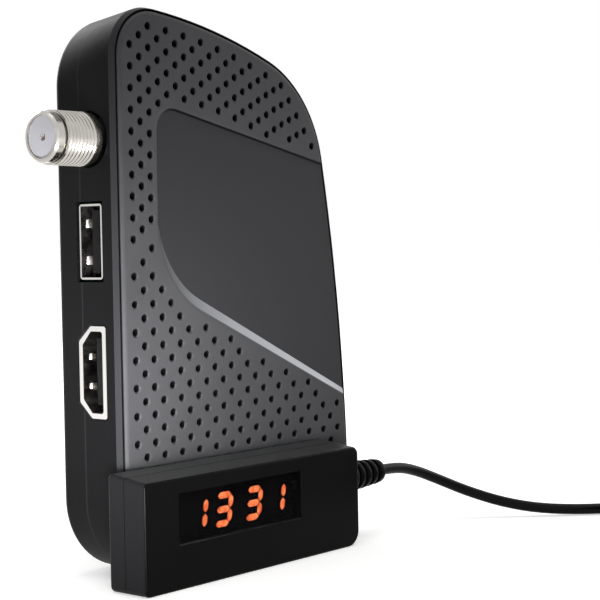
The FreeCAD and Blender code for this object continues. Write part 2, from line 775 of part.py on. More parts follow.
def f_contact():
    """Split contact tube in the middle of the bush."""
    long, wide = CONTACT_SPLIT
    tube = rod(CONTACT_R, on_axis(F_TAIL_END), on_axis(F_END_X + CONTACT_BACK))
    tube = tube.cut(rod(CONTACT_BORE_R, on_axis(F_END_X + CONTACT_BORE_DEEP), on_axis(F_END_X)))
    return tube.cut(box(F_END_X, F_END_X + long, -wide / 2, wide / 2, F_Z - 1, F_Z + 1))


def usb_shell():
    """Folded sheet-metal mouth of the data socket, with slots round its leaf springs."""
    y = USB_TALL / 2
    z = USB_LONG / 2
    front = LEFT_X + USB_SET_BACK
    tube = box(front, front + USB_DEEP, -y, y, USB_Z - z, USB_Z + z)
    tube = tube.makeFillet(USB_CORNER, upright_edges(tube, AXIS_X))
    inner = box(front, front + USB_DEEP - SHEET, SHEET - y, y - SHEET, USB_Z - z + SHEET, USB_Z + z - SHEET)
    tube = tube.cut(inner)
    half = USB_SPRING_WIDE / 2
    x0, x1 = USB_SPRING_X
    for side in (-y, y):
        for spot in USB_SPRING_Z:
            tube = tube.cut(box(front + x0, front + x1, side - 0.5, side + 0.5,
                                USB_Z + spot - half, USB_Z + spot + half))
    return tube


def usb_tongue():
    """Plastic tongue and rear block that carry the contacts."""
    front = LEFT_X + USB_SET_BACK
    x0, x1 = USB_TONGUE_X
    half = USB_TONGUE_WIDE / 2
    y = USB_TALL / 2 - SHEET
    z = USB_LONG / 2 - SHEET
    tongue = box(front + x0, front + x1, *USB_TONGUE_Y, USB_Z - half, USB_Z + half)
    return tongue.fuse(box(front + x1, front + USB_DEEP - SHEET, -y, y, USB_Z - z, USB_Z + z))


def usb_contacts():
    """Four gold strips on the tongue."""
    front = LEFT_X + USB_SET_BACK
    y = USB_TONGUE_Y[1]
    half = USB_CONTACT_WIDE / 2
    strips = []
    for z in USB_CONTACT_Z:
        strips.append(box(front + USB_CONTACT_START, front + USB_TONGUE_X[1], y, y + USB_CONTACT_THICK,
                          USB_Z + z - half, USB_Z + z + half))
    return Part.makeCompound(strips)


def hdmi_profile(grow):
    """D-shaped section of the video socket, wide at the front, grown all round."""
    half = HDMI_LONG / 2 + grow
    narrow = HDMI_NARROW / 2 + grow * 0.6
    y0 = -HDMI_TALL / 2 - grow
    y1 = HDMI_TALL / 2 + grow
    mid = HDMI_SHOULDER
    points = [(y0, -half), (y0, half), (mid, half), (y1, narrow), (y1, -narrow), (mid, -half)]
    slab = polygon_yz(points).extrude(AXIS_X)
    slab = slab.makeFillet(HDMI_CORNER, upright_edges(slab, AXIS_X))
    flat = [f for f in slab.Faces if abs(f.BoundBox.XMax) < 0.01]
    return flat[0]


def hdmi_slab(grow, x0, x1):
    """The video socket's section, grown all round, from x0 to x1 behind its front."""
    slab = hdmi_profile(grow).extrude(V(x1 - x0, 0, 0))
    slab.translate(V(LEFT_X + HDMI_SET_BACK + x0, 0, HDMI_Z))
    return slab


def hdmi_shell():
    """Folded shell with its rolled lip."""
    outer = hdmi_slab(0, 0, HDMI_DEEP).fuse(hdmi_slab(HDMI_LIP, 0, HDMI_LIP_THICK))
    return outer.cut(hdmi_slab(-SHEET, 0, HDMI_DEEP - SHEET))


def hdmi_tongue():
    """Plastic tongue and rear block of the video socket."""
    front = LEFT_X + HDMI_SET_BACK
    x0, x1 = HDMI_TONGUE_X
    half = HDMI_TONGUE_WIDE / 2
    tongue = box(front + x0, front + x1, *HDMI_TONGUE_Y, HDMI_Z - half, HDMI_Z + half)
    return tongue.fuse(hdmi_slab(-SHEET, x1, HDMI_DEEP - SHEET))


def hdmi_contacts():
    """Nineteen contacts, ten on one face of the tongue and nine on the other."""
    front = LEFT_X + HDMI_SET_BACK
    y0, y1 = HDMI_TONGUE_Y
    half = HDMI_CONTACT_WIDE / 2
    strips = []
    for count, y in ((10, y0 - HDMI_CONTACT_THICK), (9, y1)):
        for step in range(count):
            z = HDMI_Z + step - (count - 1) / 2
            strips.append(box(front + HDMI_CONTACT_START, front + HDMI_TONGUE_X[1], y, y + HDMI_CONTACT_THICK,
                              z - half, z + half))
    return Part.makeCompound(strips)


# ---- right sockets ---------------------------------------------------------------------------
def jack_block(z, bore_r):
    """A socket body: block on the board, round collar through the wall, straight bore."""
    side = right_side_x(z)
    front = side - WALL - JACK_SET_BACK
    block = box(front - JACK_LONG, front, JACK_FACE_Y, BOARD_Y, z - JACK_HALF_WIDE, z + JACK_HALF_WIDE)
    collar = rod(COLLAR_R, V(front, 0, z), V(side - COLLAR_SUNK, 0, z))
    bore = rod(bore_r, V(side - JACK_DEEP, 0, z), V(side + 1, 0, z))
    return block.fuse(collar).cut(bore)


def power_pin():
    """Centre pin of the power socket."""
    side = right_side_x(POWER_Z)
    return rod(POWER_PIN_R, V(side - JACK_DEEP - JACK_BACK, 0, POWER_Z), V(side - POWER_PIN_SUNK, 0, POWER_Z))


def power_jack():
    """Power socket: a jack body with a seat for its pin at the back."""
    side = right_side_x(POWER_Z)
    seat = rod(POWER_PIN_R, V(side - JACK_DEEP - JACK_BACK, 0, POWER_Z), V(side, 0, POWER_Z))
    return jack_block(POWER_Z, POWER_BORE_R).cut(seat)


# ---- display unit ----------------------------------------------------------------------------
def end_edges(block, x, low, high):
    """Edges that run front to back at one end of the unit, between two heights."""
    def fits(edge):
        box_round = edge.BoundBox
        there = abs(box_round.XMin - x) < 0.01 and abs(box_round.XMax - x) < 0.01
        return there and box_round.YLength > UNIT_DEPTH / 2 and box_round.ZMin > low and box_round.ZMax < high
    return edges_where(block, fits)


def unit_block(inset=0.0):
    """The display unit's outside, or its hollow when drawn in."""
    x0 = UNIT_LEFT + inset
    x1 = UNIT_RIGHT - inset
    y0 = UNIT_FRONT + inset
    y1 = UNIT_BACK - inset
    slope = UNIT_FRONT_DROP / UNIT_DEPTH
    z_front = UNIT_TALL - UNIT_FRONT_DROP - inset + slope * inset
    z_back = UNIT_TALL - inset - slope * inset
    block = polygon_yz([(y0, inset), (y1, inset), (y1, z_back), (y0, z_front)], x0).extrude(V(x1 - x0, 0, 0))
    if inset:
        return block
    block = block.makeFillet(UNIT_FOOT_LEFT_ROUND, end_edges(block, x0, -1, 1))
    block = block.makeFillet(UNIT_FOOT_RIGHT_ROUND, end_edges(block, x1, -1, 1))
    block = block.makeFillet(UNIT_TOP_RIGHT_ROUND, end_edges(block, x1, z_front - 1, z_back + 1))
    block = block.makeFillet(UNIT_TOP_LEFT_ROUND, end_edges(block, x0, z_front - 1, z_back + 1))
    return block.makeFillet(UNIT_EDGE_ROUND, edges_on_plane_y(block, y0) + edges_on_plane_y(block, y1))


def lead_hole():
    """Round hole for the strain relief's neck in the unit's right end."""
    radius = RELIEF_NECK_R + WINDOW_SUNK
    return rod(radius, V(UNIT_RIGHT - 2 * UNIT_WALL, LEADS_Y, LEADS_Z), V(UNIT_RIGHT + 1, LEADS_Y, LEADS_Z))


def unit_rod(radius, x, y0, y1):
    """A rod from front to back on a unit screw's axis."""
    return rod(radius, V(x, y0, UNIT_SCREW_Z), V(x, y1, UNIT_SCREW_Z))


def display_front():
    """Front half of the unit's housing, with the window's opening and two screw bosses."""
    inside = UNIT_FRONT + UNIT_WALL
    half = unit_block().cut(box(-60, 60, UNIT_SEAM, 20, -5, 40))
    half = half.cut(unit_block(UNIT_WALL))
    x0, x1, z0, z1 = WINDOW
    half = half.cut(box(x0, x1, UNIT_FRONT - 1, inside + UNIT_GAP, z0, z1))
    for x in UNIT_SCREW_X:
        half = half.fuse(unit_rod(UNIT_BOSS_R, x, inside - UNIT_GAP, UNIT_SEAM))
        half = half.cut(unit_rod(UNIT_SCREW_R, x, inside + UNIT_HEAD_SINK, UNIT_SEAM))
    return half.cut(lead_hole())


def display_back():
    """Rear half of the unit's housing, with a shallow seat for the sticky pad."""
    front = UNIT_SEAM + UNIT_GAP
    half = unit_block().cut(box(-60, 60, -40, front, -5, 40))
    half = half.cut(unit_block(UNIT_WALL))
    x0, x1, z0, z1 = PAD
    g = PAD_SEAT_PLAY
    half = half.cut(box(x0 - g, x1 + g, UNIT_BACK - PAD_SUNK, UNIT_BACK + 1, z0 - g, z1 + g))
    for x in UNIT_SCREW_X:
        half = half.fuse(unit_rod(UNIT_BOSS_R, x, front, UNIT_BACK - UNIT_WALL + UNIT_GAP))
        half = half.cut(unit_rod(UNIT_SCREW_R + UNIT_GAP / 2, x, UNIT_SEAM, UNIT_BACK + 1))
        half = half.cut(unit_rod(UNIT_HEAD_R + UNIT_GAP, x, UNIT_BACK - UNIT_HEAD_SINK, UNIT_BACK + 1))
    return half.cut(lead_hole())


def display_screws():
    """Two slotted screws that hold the unit's halves."""
    under = UNIT_BACK - UNIT_HEAD_SINK
    top = UNIT_BACK - UNIT_GAP
    thin, long, deep = UNIT_SLOT
    screws = []
    for x in UNIT_SCREW_X:
        head = unit_rod(UNIT_HEAD_R, x, under, top)
        shank = unit_rod(UNIT_SCREW_R, x, UNIT_FRONT + UNIT_WALL + 2 * UNIT_HEAD_SINK, under)
        slot = box(x - thin, x + thin, top - deep, top, UNIT_SCREW_Z - long, UNIT_SCREW_Z + long)
        screws.append(head.fuse(shank).cut(slot))
    return Part.makeCompound(screws)


def display_window():
    x0, x1, z0, z1 = WINDOW
    g = UNIT_GAP / 2
    y = UNIT_FRONT + WINDOW_SUNK
    return box(x0 + g, x1 - g, y, y + WINDOW_THICK, z0 + g, z1 - g)


def sticky_pad():
    x0, x1, z0, z1 = PAD
    return box(x0, x1, UNIT_BACK - PAD_SUNK, UNIT_BACK, z0, z1)


def segment_outline(name):
    """Corners of one bar of a digit, about the digit's centre, before the slant."""
    w = DIGIT_WIDE / 2
    h = DIGIT_TALL / 2
    t = DIGIT_LINE / 2
    gap = DIGIT_GAP
    if name in "adg":
        z = {"a": h - t, "g": 0.0, "d": t - h}[name]
        x = w - t
        inner = x - t - gap
        return [(gap - x, z), (-inner, z + t), (inner, z + t), (x - gap, z), (inner, z - t), (-inner, z - t)]
    x = (w - t) * (1 if name in "bc" else -1)
    z0, z1 = (t - h + gap, -gap) if name in "ce" else (gap, h - t - gap)
    return [(x, z0), (x + t, z0 + t), (x + t, z1 - t), (x, z1), (x - t, z1 - t), (x - t, z0 + t)]


def digit_bars(lit):
    """All lit or all unlit bars of the four digits, as thin slanted prisms."""
    bars = []
    for centre, figure in zip(DIGIT_CENTRES, DIGITS_SHOWN):
        for name in "abcdefg":
            if (name in LIT_BARS[figure]) != lit:
                continue
            corners = [(centre + x + z * DIGIT_SLANT, DIGIT_Z + z) for x, z in segment_outline(name)]
            bars.append(polygon_xz(corners, LAMP_Y).extrude(V(0, DIGIT_THICK, 0)))
    return bars


def digit_block():
    """The lamp block of the display, with pockets for the bars."""
    x0, x1, z0, z1 = LAMP_BLOCK
    block = box(x0, x1, LAMP_Y, LAMP_Y + LAMP_DEEP, z0, z1)
    return block.cut(Part.makeCompound(digit_bars(True) + digit_bars(False)))


def display_board():
    x0, x1, z0, z1 = UNIT_BOARD
    return box(x0, x1, UNIT_BOARD_Y, UNIT_BOARD_Y + UNIT_BOARD_THICK, z0, z1)


def remote_eye():
    """Receiver eye for the remote control, with its round lens."""
    x0, x1, z0, z1 = EYE
    front = UNIT_BOARD_Y - EYE_THICK
    middle = (x0 + x1) / 2
    lens = rod(EYE_LENS_R, V(middle, front - EYE_LENS_TALL, EYE_LENS_Z), V(middle, front, EYE_LENS_Z))
    return box(x0, x1, front, UNIT_BOARD_Y, z0, z1).fuse(lens)


def driver_chip():
    x0, x1, z0, z1 = DRIVER_CHIP
    y = UNIT_BOARD_Y + UNIT_BOARD_THICK
    return box(x0, x1, y, y + DRIVER_CHIP_THICK, z0, z1)


# ---- lead ------------------------------------------------------------------------------------
def relief_r(x):
    """Radius of the strain relief's taper at x."""
    return RELIEF_R - (x - UNIT_RIGHT) * RELIEF_TAPER


def relief_profile():
    """Ribbed taper along X: pairs of distance along the lead and radius."""
    flange_in, flange_out, flange_r = RELIEF_FLANGE
    start = UNIT_RIGHT + WINDOW_SUNK
    neck = RELIEF_NECK_R
    points = [(flange_in, flange_r), (flange_out, flange_r), (flange_out, neck), (start, neck),
              (start, relief_r(start))]
    for step in range(RELIEF_GROOVES):
        x = UNIT_RIGHT + RELIEF_COLLAR + step * RELIEF_STEP
        end = x + RELIEF_GROOVE
        core = relief_r(x) - RELIEF_GROOVE
        points += [(x, relief_r(x)), (x + RELIEF_GROOVE_SLOPE, core), (end - RELIEF_GROOVE_SLOPE, core),
                   (end, relief_r(end))]
    tip = relief_r(RELIEF_END)
    return points + [(RELIEF_END - RELIEF_END_ROUND, tip), (RELIEF_END, tip - RELIEF_END_ROUND)]


def strain_relief():
    points = relief_profile()
    ring = [V(x, LEADS_Y, LEADS_Z + r) for x, r in points]
    ring = [V(points[0][0], LEADS_Y, LEADS_Z)] + ring + [V(points[-1][0], LEADS_Y, LEADS_Z)]
    face = Part.Face(Part.makePolygon(ring + ring[:1]))
    return face.revolve(V(0, LEADS_Y, LEADS_Z), AXIS_X, 360)


def cord_tube(name, points):
    """Round lead along straight runs joined by the largest tangent arcs that fit."""
    path = [V(*p) for p in points]
    runs = [(b - a).Length for a, b in zip(path, path[1:])]
    edges = []
    last = path[0]
    for i in range(1, len(path) - 1):
        into = (path[i] - path[i - 1]).normalize()
        out = (path[i + 1] - path[i]).normalize()
        half_turn = math.acos(max(-1, min(1, into.dot(out)))) / 2
        cut = 0.45 * min(runs[i - 1], runs[i])
        radius = cut / math.tan(half_turn)
        turn = math.degrees(2 * half_turn)
        print(f"  {name} point {i}: run {runs[i - 1]:.1f} turn {turn:.0f} radius {radius:.1f}")
        start = path[i] - into * cut
        end = path[i] + out * cut
        inward = (out - into).normalize()
        middle = path[i] + inward * (radius / math.cos(half_turn) - radius)
        edges.append(Part.LineSegment(last, start).toShape())
        edges.append(Part.Arc(start, middle, end).toShape())
        last = end
    edges.append(Part.LineSegment(last, path[-1]).toShape())
    spine = Part.Wire(edges)
    heading = path[1] - path[0]
    section = Part.Wire([Part.makeCircle(CORD_D / 2, path[0], heading)])
    tube = spine.makePipeShell([section], True, False)
    expected = math.pi * CORD_D ** 2 / 4 * spine.Length
    print(f"  {name}: length {spine.Length:.1f}, volume {tube.Volume:.1f}, section x length {expected:.1f}")
    return tube


def circle_edges(shape):
    return edges_where(shape, lambda e: e.Curve.TypeId == "Part::GeomCircle")


def coil_ring(grow, low):
    """A round-edged ring about the wound turns, grown all round, that starts at height low."""
    outer = COIL_OUTER_TURN + CORD_D / 2 + grow
    inner = COIL_OUTER_TURN - (COIL_COLUMNS - 1) * COIL_PITCH - CORD_D / 2 - grow
    tall = (COIL_LAYERS - 1) * COIL_PITCH + CORD_D + 2 * grow
    centre = V(*COIL_CENTRE, low)
    ring = Part.makeCylinder(outer, tall, centre).cut(Part.makeCylinder(inner, tall, centre))
    return ring.makeFillet(COIL_ROUND, circle_edges(ring))


def cord_coil():
    """Outer shape of the wound lead: a ring as thick as its layers."""
    return coil_ring(0, COIL_FLOOR_GAP)


def cord_tie():
    """A thin band round all the turns at one place."""
    reach = 2 * COIL_OUTER_TURN
    piece = box(-reach, 0, -TIE_WIDE / 2, TIE_WIDE / 2, -1, reach)
    piece.rotate(V(0, 0, 0), AXIS_Z, TIE_TURN)
    piece.translate(V(*COIL_CENTRE, 0))
    return coil_ring(COIL_FLOOR_GAP, 0).common(piece).cut(cord_coil())


def turned_plug(points):
    """Turn pairs of length and radius about the plug's axis, and lay the result where the plug is."""
    ring = [V(x, 0, r) for x, r in points]
    shape = Part.Face(Part.makePolygon(ring + ring[:1])).revolve(V(0, 0, 0), AXIS_X, 360)
    shape.rotate(V(0, 0, 0), AXIS_Z, PLUG_YAW)
    shape.translate(V(*ROUTE_PLUG[-1]))
    return shape


def plug_grip():
    end = PLUG_GRIP_LONG
    full = PLUG_GRIP_R
    return turned_plug([(0, 0), (0, 1.6), (4.5, 2.2), (6.0, full), (end - 1, full), (end, 2.4), (end, 0)])


def plug_pin():
    """Four-pole jack pin, with its grooves for the insulating rings."""
    start = PLUG_GRIP_LONG
    step = PLUG_SHOULDER_END
    pin = [(start, 0), (start, PLUG_SHOULDER_R), (step, PLUG_SHOULDER_R), (step, PLUG_PIN_R)]
    for x0, x1 in RINGS[:-1]:
        pin += [(x0, PLUG_PIN_R), (x0, RING_R), (x1, RING_R), (x1, PLUG_PIN_R)]
    x0, x1 = RINGS[-1]
    pin += [(x0, PLUG_PIN_R), (x0, RING_R), (x1, RING_R), (x1, 1.5), (29.4, PLUG_PIN_R), (30.2, 1.45),
            (PLUG_TIP, 0.3), (PLUG_TIP, 0)]
    return turned_plug(pin)


def plug_rings():
    """Three insulating rings of the plug."""
    rings = [turned_plug([(a, RING_R), (a, PLUG_PIN_R), (b, PLUG_PIN_R), (b, RING_R)]) for a, b in RINGS]
    return Part.makeCompound(rings)


# ---- write everything ------------------------------------------------------------------------
MAKERS = {
    "rear_case": rear_case,
    "front_cover": front_cover,
    "case_screws": case_screws,
    "rubber_feet": rubber_feet,
    "rating_label": rating_label,
    "main_board": main_board,
    "tuner_can": tuner_can,
    "tuner_lid": tuner_lid,
    "tuner_chip": lambda: on_board(*TUNER_CHIP),
    "processor": lambda: on_board(*PROCESSOR),
    "thermal_pad": thermal_pad,
    "heatsink": heatsink,
    "memory_chip": lambda: on_board(*MEMORY_CHIP),
    "flash_chip": lambda: on_board(*FLASH_CHIP),
    "crystal": crystal,
    "capacitors": capacitors,
    "power_coils": power_coils,
    "regulators": regulators,
    "aerial_socket_barrel": f_barrel,
    "aerial_socket_bush": f_insulator,
    "aerial_socket_contact": f_contact,
    "usb_shell": usb_shell,
    "usb_tongue": usb_tongue,
    "usb_contacts": usb_contacts,
    "hdmi_shell": hdmi_shell,
    "hdmi_tongue": hdmi_tongue,
    "hdmi_contacts": hdmi_contacts,
    "power_jack": power_jack,
    "power_pin": power_pin,
    "av_jack": lambda: jack_block(AV_Z, JACK_BORE_R),
    "display_jack": lambda: jack_block(DISPLAY_Z, JACK_BORE_R),
    "display_front": display_front,
    "display_back": display_back,
    "display_screws": display_screws,
    "display_window": display_window,
    "digit_block": digit_block,
    "lit_bars": lambda: Part.makeCompound(digit_bars(True)),
    "unlit_bars": lambda: Part.makeCompound(digit_bars(False)),
    "display_board": display_board,
    "remote_eye": remote_eye,
    "driver_chip": driver_chip,
    "sticky_pad": sticky_pad,
    "strain_relief": strain_relief,
    "cord_run": lambda: cord_tube("cord_run", ROUTE_OUT),
    "cord_coil": cord_coil,
    "cord_tie": cord_tie,
    "cord_tail": lambda: cord_tube("cord_tail", ROUTE_PLUG),
    "plug_grip": plug_grip,
    "plug_pin": plug_pin,
    "plug_rings": plug_rings,
}


def main():
    """Make every node and write its file."""
    os.makedirs("parts", exist_ok=True)
    for node, maker in MAKERS.items():
        save(maker(), node)


main()
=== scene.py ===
"""Mini satellite television receiver with its wired clock display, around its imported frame.

Every piece is in metres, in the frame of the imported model: X across the receiver's face,
Y from its face to its back, Z up, the floor at zero.
"""
import math

import bpy
from bpy.props import FloatProperty, FloatVectorProperty, PointerProperty
from bpy.types import Operator, Panel, PropertyGroup
from mathutils import Matrix, Vector


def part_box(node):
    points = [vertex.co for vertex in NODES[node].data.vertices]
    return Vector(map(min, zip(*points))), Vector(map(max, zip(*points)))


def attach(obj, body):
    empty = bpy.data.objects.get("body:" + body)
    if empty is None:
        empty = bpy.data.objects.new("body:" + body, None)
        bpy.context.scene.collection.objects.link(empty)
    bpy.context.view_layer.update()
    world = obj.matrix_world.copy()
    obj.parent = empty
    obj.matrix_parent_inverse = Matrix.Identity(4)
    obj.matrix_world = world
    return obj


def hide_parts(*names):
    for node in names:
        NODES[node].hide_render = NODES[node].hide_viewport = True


bl_info = {
    "name": "Satellite receiver with clock display",
    "version": (1, 0, 0),
    "blender": (4, 5, 0),
    "location": "View3D > Sidebar > Receiver",
    "description": "Models a mini satellite receiver and its wired clock display round a packed frame",
    "category": "Add Mesh",
}

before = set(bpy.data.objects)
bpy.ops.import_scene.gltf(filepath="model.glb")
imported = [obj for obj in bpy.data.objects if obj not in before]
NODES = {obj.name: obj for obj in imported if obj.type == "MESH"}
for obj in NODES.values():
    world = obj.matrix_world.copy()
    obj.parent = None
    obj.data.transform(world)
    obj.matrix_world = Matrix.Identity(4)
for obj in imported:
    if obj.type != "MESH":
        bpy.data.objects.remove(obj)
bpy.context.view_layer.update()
MM = 0.001
MICRON = 1e-6


def linear(hex_text):
    """An sRGB hex colour as a linear RGBA tuple."""
    values = [int(hex_text[i:i + 2], 16) / 255 for i in (1, 3, 5)]
    channels = [v / 12.92 if v <= 0.04045 else ((v + 0.055) / 1.055) ** 2.4 for v in values]
    return (*channels, 1.0)


def colour(name, hex_text, description):
    """A colour property with a hex default."""
    return FloatVectorProperty(
        name=name, description=description, subtype="COLOR", size=4, min=0, max=1,
        default=linear(hex_text),
    )


def length(name, metres, description):
    return FloatProperty(name=name, description=description, default=metres, unit="LENGTH", precision=5)


def turn(name, degrees, description):
    return FloatProperty(
        name=name, description=description, default=math.radians(degrees), unit="ROTATION",
    )


# ---- sizes and colours a user would change ---------------------------------------------------
class ReceiverSizes(PropertyGroup):
    """Sizes of the pieces that are modelled here."""

    thread_pitch: length("Thread pitch", 0.794 * MM, "Pitch of the aerial socket's 32-per-inch thread")
    thread_depth: length("Thread depth", 0.3 * MM, "Depth of the aerial socket's thread")
    lead_diameter: length("Lead diameter", 2.2 * MM, "Outside of the display's lead")
    lead_length: length("Lead length", 1.25, "Real length of the display's lead")
    coil_pitch: length("Coil pitch", 2.25 * MM, "Distance between neighbouring turns")
    coil_outer: length("Coil outer turn", 15.3 * MM, "Radius of the outermost turn")
    relief_radius: length("Relief radius", 3.15 * MM, "Radius of the strain relief where it meets the unit")
    relief_step: length("Relief step", 2.2 * MM, "Distance between the grooves of the strain relief")


class ReceiverColours(PropertyGroup):
    """Colours of the main finishes."""

    case: colour("Case", "#101011", "Black of the deep rear shell")
    # Rim: a painted highlight on the case's rounded front edges and on the display unit's top and ends
    rim_highlight: colour("Rim", "#303032", "Grey of the edges that handling rubs")
    cover: colour("Cover", "#414143", "Grey of the perforated face")
    panel: colour("Panel", "#2b2b2d", "Grey of the smooth panel in the face")
    # Bevel: a painted highlight, darkest at the bevel's left end and palest at its right
    bevel: colour("Bevel", "#bcbdc1", "Palest grey of the smooth bevel along the panel")
    unit: colour("Display unit", "#040404", "Black of the clock display's housing")
    digits: colour("Digits", "#ff6a36", "Glow of the lit bars")
    bush: colour("Bush", "#b4b4ba", "White of the aerial socket's bush")
    nickel: colour("Nickel", "#bdb9b3", "Plating of the sockets")


class ReceiverStage(PropertyGroup):
    """Camera and light."""

    azimuth: turn("Azimuth", -50, "Direction the camera stands in, from straight in front")
    elevation: turn("Elevation", 2, "Height of the camera above level")
    roll: turn("Roll", -1, "Lean of the camera")
    place: FloatVectorProperty(
        name="Camera place", description="Where the camera stands", subtype="XYZ", unit="LENGTH",
        default=(-0.213477, -0.200660, 0.058073),
    )
    lens: FloatProperty(name="Lens", description="Focal length in millimetres", default=93.0)
    floor_size: length("Floor size", 6.0, "Side of the floor")
    floor_level: FloatProperty(
        name="Floor level", description="White that the floor shows by itself", default=0.45,
    )
    world_level: FloatProperty(name="World level", description="Soft light from all round", default=0.22)


SIZES = None
COLOURS = None
STAGE = None


# ---- nodes and materials ---------------------------------------------------------------------
def add_node(tree, kind, inputs=None, **settings):
    """Add a node, set its settings, and give its inputs values or links."""
    made = tree.nodes.new(kind)
    for key, value in settings.items():
        setattr(made, key, value)
    for key, value in (inputs or {}).items():
        socket = made.inputs[key]
        if isinstance(value, bpy.types.NodeSocket):
            tree.links.new(value, socket)
        else:
            socket.default_value = value
    return made


def start_material(name):
    """An empty material with its shader and output."""
    material = bpy.data.materials.new(name)
    material.use_nodes = True
    tree = material.node_tree
    tree.nodes.clear()
    shader = add_node(tree, "ShaderNodeBsdfPrincipled")
    add_node(tree, "ShaderNodeOutputMaterial", {"Surface": shader.outputs[0]})
    return material, tree, shader


def set_shader(shader, **values):
    """Set constants on the shader's own sockets."""
    for key, value in values.items():
        shader.inputs[key.replace("_", " ")].default_value = value


def place_of(tree, scale=(1, 1, 1)):
    """Object coordinates, stretched for a pattern."""
    spot = add_node(tree, "ShaderNodeTexCoord").outputs["Object"]
    if scale == (1, 1, 1):
        return spot
    return add_node(tree, "ShaderNodeMapping", {"Vector": spot, "Scale": scale}).outputs[0]


def noise(tree, size, detail=2.0, stretch=(1, 1, 1), roughness=0.5):
    """Noise whose lumps are size metres across."""
    return add_node(tree, "ShaderNodeTexNoise", {
        "Vector": place_of(tree, stretch), "Scale": 1 / size, "Detail": detail, "Roughness": roughness,
    }).outputs["Fac"]


def spread(tree, value, low, high, start=0.35, end=0.65):
    """Map a pattern's middle range onto low to high."""
    return add_node(tree, "ShaderNodeMapRange", {
        "Value": value, "From Min": start, "From Max": end, "To Min": low, "To Max": high,
    }, clamp=True).outputs[0]


def own_normal(tree):
    """X, Y and Z of the surface's direction in the object's own axes."""
    normal = add_node(tree, "ShaderNodeTexCoord").outputs["Normal"]
    return add_node(tree, "ShaderNodeSeparateXYZ", {"Vector": normal}).outputs


def own_place(tree):
    """X, Y and Z of the surface's place in the object's own axes."""
    return add_node(tree, "ShaderNodeSeparateXYZ", {"Vector": place_of(tree)}).outputs


def product(tree, first, second):
    """Two patterns multiplied."""
    return add_node(tree, "ShaderNodeMath", {0: first, 1: second}, operation="MULTIPLY").outputs[0]


def blend_colours(tree, factor, first, second):
    """Mix two colours by a pattern."""
    mix = add_node(tree, "ShaderNodeMix", data_type="RGBA")
    for socket, value in ((mix.inputs[0], factor), (mix.inputs[6], first), (mix.inputs[7], second)):
        if isinstance(value, bpy.types.NodeSocket):
            tree.links.new(value, socket)
        else:
            socket.default_value = value
    return mix.outputs[2]


def shade(rgba, factor):
    """A colour made darker or lighter."""
    return (*[min(1.0, c * factor) for c in rgba[:3]], 1.0)


PATCH_SIZE = 9 * MM
PATCH_RANGE = (0.2, 0.8)
PATCH_ROUGHER = 0.03
RIM_FADE_FRONT = 0.07
RIM_FADE_BACK = 0.1
WITNESS_CORE = 0.05 * MM
WITNESS_FADE = 0.3 * MM
WITNESS_SHOWS = 0.3
SHEEN_ROUGHNESS = 0.2


def moulded(name, base, grain, depth, rough, specular, drift=0.10, sheen=0.0, rim_highlight=None,
            turned=(-0.9, -0.2), witness=None):
    """Moulded plastic or rubber: slight drift of colour, a grain from the mould, uneven sheen.

    grain and depth are the mould texture's real size and depth in metres. sheen is how much paler
    the textured skin gets where it is seen at a low angle. The rim colour is a painted highlight, laid
    on the faces whose normal's Y lies in the range turned. witness is the place in Y of the line where
    the halves of the mould met, drawn in that painted highlight colour.
    """
    material, tree, shader = start_material(name)
    patch = noise(tree, PATCH_SIZE, 3)
    drifted = spread(tree, patch, 0, 1, *PATCH_RANGE)
    tint = blend_colours(tree, drifted, shade(base, 1 - drift), shade(base, 1 + drift))
    # painted highlight: the rim colour laid on the faces whose normal's Y lies in the range turned
    if rim_highlight:
        facing = own_normal(tree)["Y"]
        rim_highlight_mask = product(tree, spread(tree, facing, 0, 1, turned[0] - RIM_FADE_FRONT, turned[0]),
                         spread(tree, facing, 1, 0, turned[1], turned[1] + RIM_FADE_BACK))
        tint = blend_colours(tree, rim_highlight_mask, tint, rim_highlight)
    if witness:
        across = own_place(tree)["Y"]
        line = product(tree, spread(tree, across, 0, 1, witness - WITNESS_FADE, witness - WITNESS_CORE),
                       spread(tree, across, 1, 0, witness + WITNESS_CORE, witness + WITNESS_FADE))
        tint = blend_colours(tree, product(tree, line, WITNESS_SHOWS), tint, rim_highlight)
    fine = noise(tree, grain, 3, roughness=0.6)
    bump = add_node(tree, "ShaderNodeBump", {"Height": fine, "Strength": 1.0, "Distance": depth})
    worn = spread(tree, patch, rough - PATCH_ROUGHER, rough + PATCH_ROUGHER, *PATCH_RANGE)
    tree.links.new(tint, shader.inputs["Base Color"])
    tree.links.new(worn, shader.inputs["Roughness"])
    tree.links.new(bump.outputs[0], shader.inputs["Normal"])
    set_shader(shader, Specular_IOR_Level=specular, Sheen_Weight=sheen, Sheen_Roughness=SHEEN_ROUGHNESS)
    return material


MOTTLE_SIZE = 2.5 * MM
MOTTLE_SHADE = 0.93
MOTTLE_SMOOTHER = 0.05
MOTTLE_ROUGHER = 0.07


def plated(name, base, rough, scratch, depth, stretch=(1, 1, 1)):
    """Plated or rolled metal: soft mottling in its sheen and fine marks left by the tool.

    scratch and depth are the marks' real width and depth in metres; stretch makes them run one way.
    """
    material, tree, shader = start_material(name)
    mottle = noise(tree, MOTTLE_SIZE, 3)
    marks = noise(tree, scratch, 2, stretch)
    tint = blend_colours(tree, spread(tree, mottle, 0, 1), shade(base, MOTTLE_SHADE), base)
    bump = add_node(tree, "ShaderNodeBump", {"Height": marks, "Strength": 1.0, "Distance": depth})
    dulled = spread(tree, mottle, rough - MOTTLE_SMOOTHER, rough + MOTTLE_ROUGHER)
    tree.links.new(tint, shader.inputs["Base Color"])
    tree.links.new(dulled, shader.inputs["Roughness"])
    tree.links.new(bump.outputs[0], shader.inputs["Normal"])
    set_shader(shader, Metallic=1.0)
    return material


# how far behind the face a surface of the cover lies where it starts to count as sunk, or as the panel
COVER_SUNK = (0.1 * MM, 0.16 * MM)
COVER_PANEL = (0.5 * MM, 0.56 * MM)
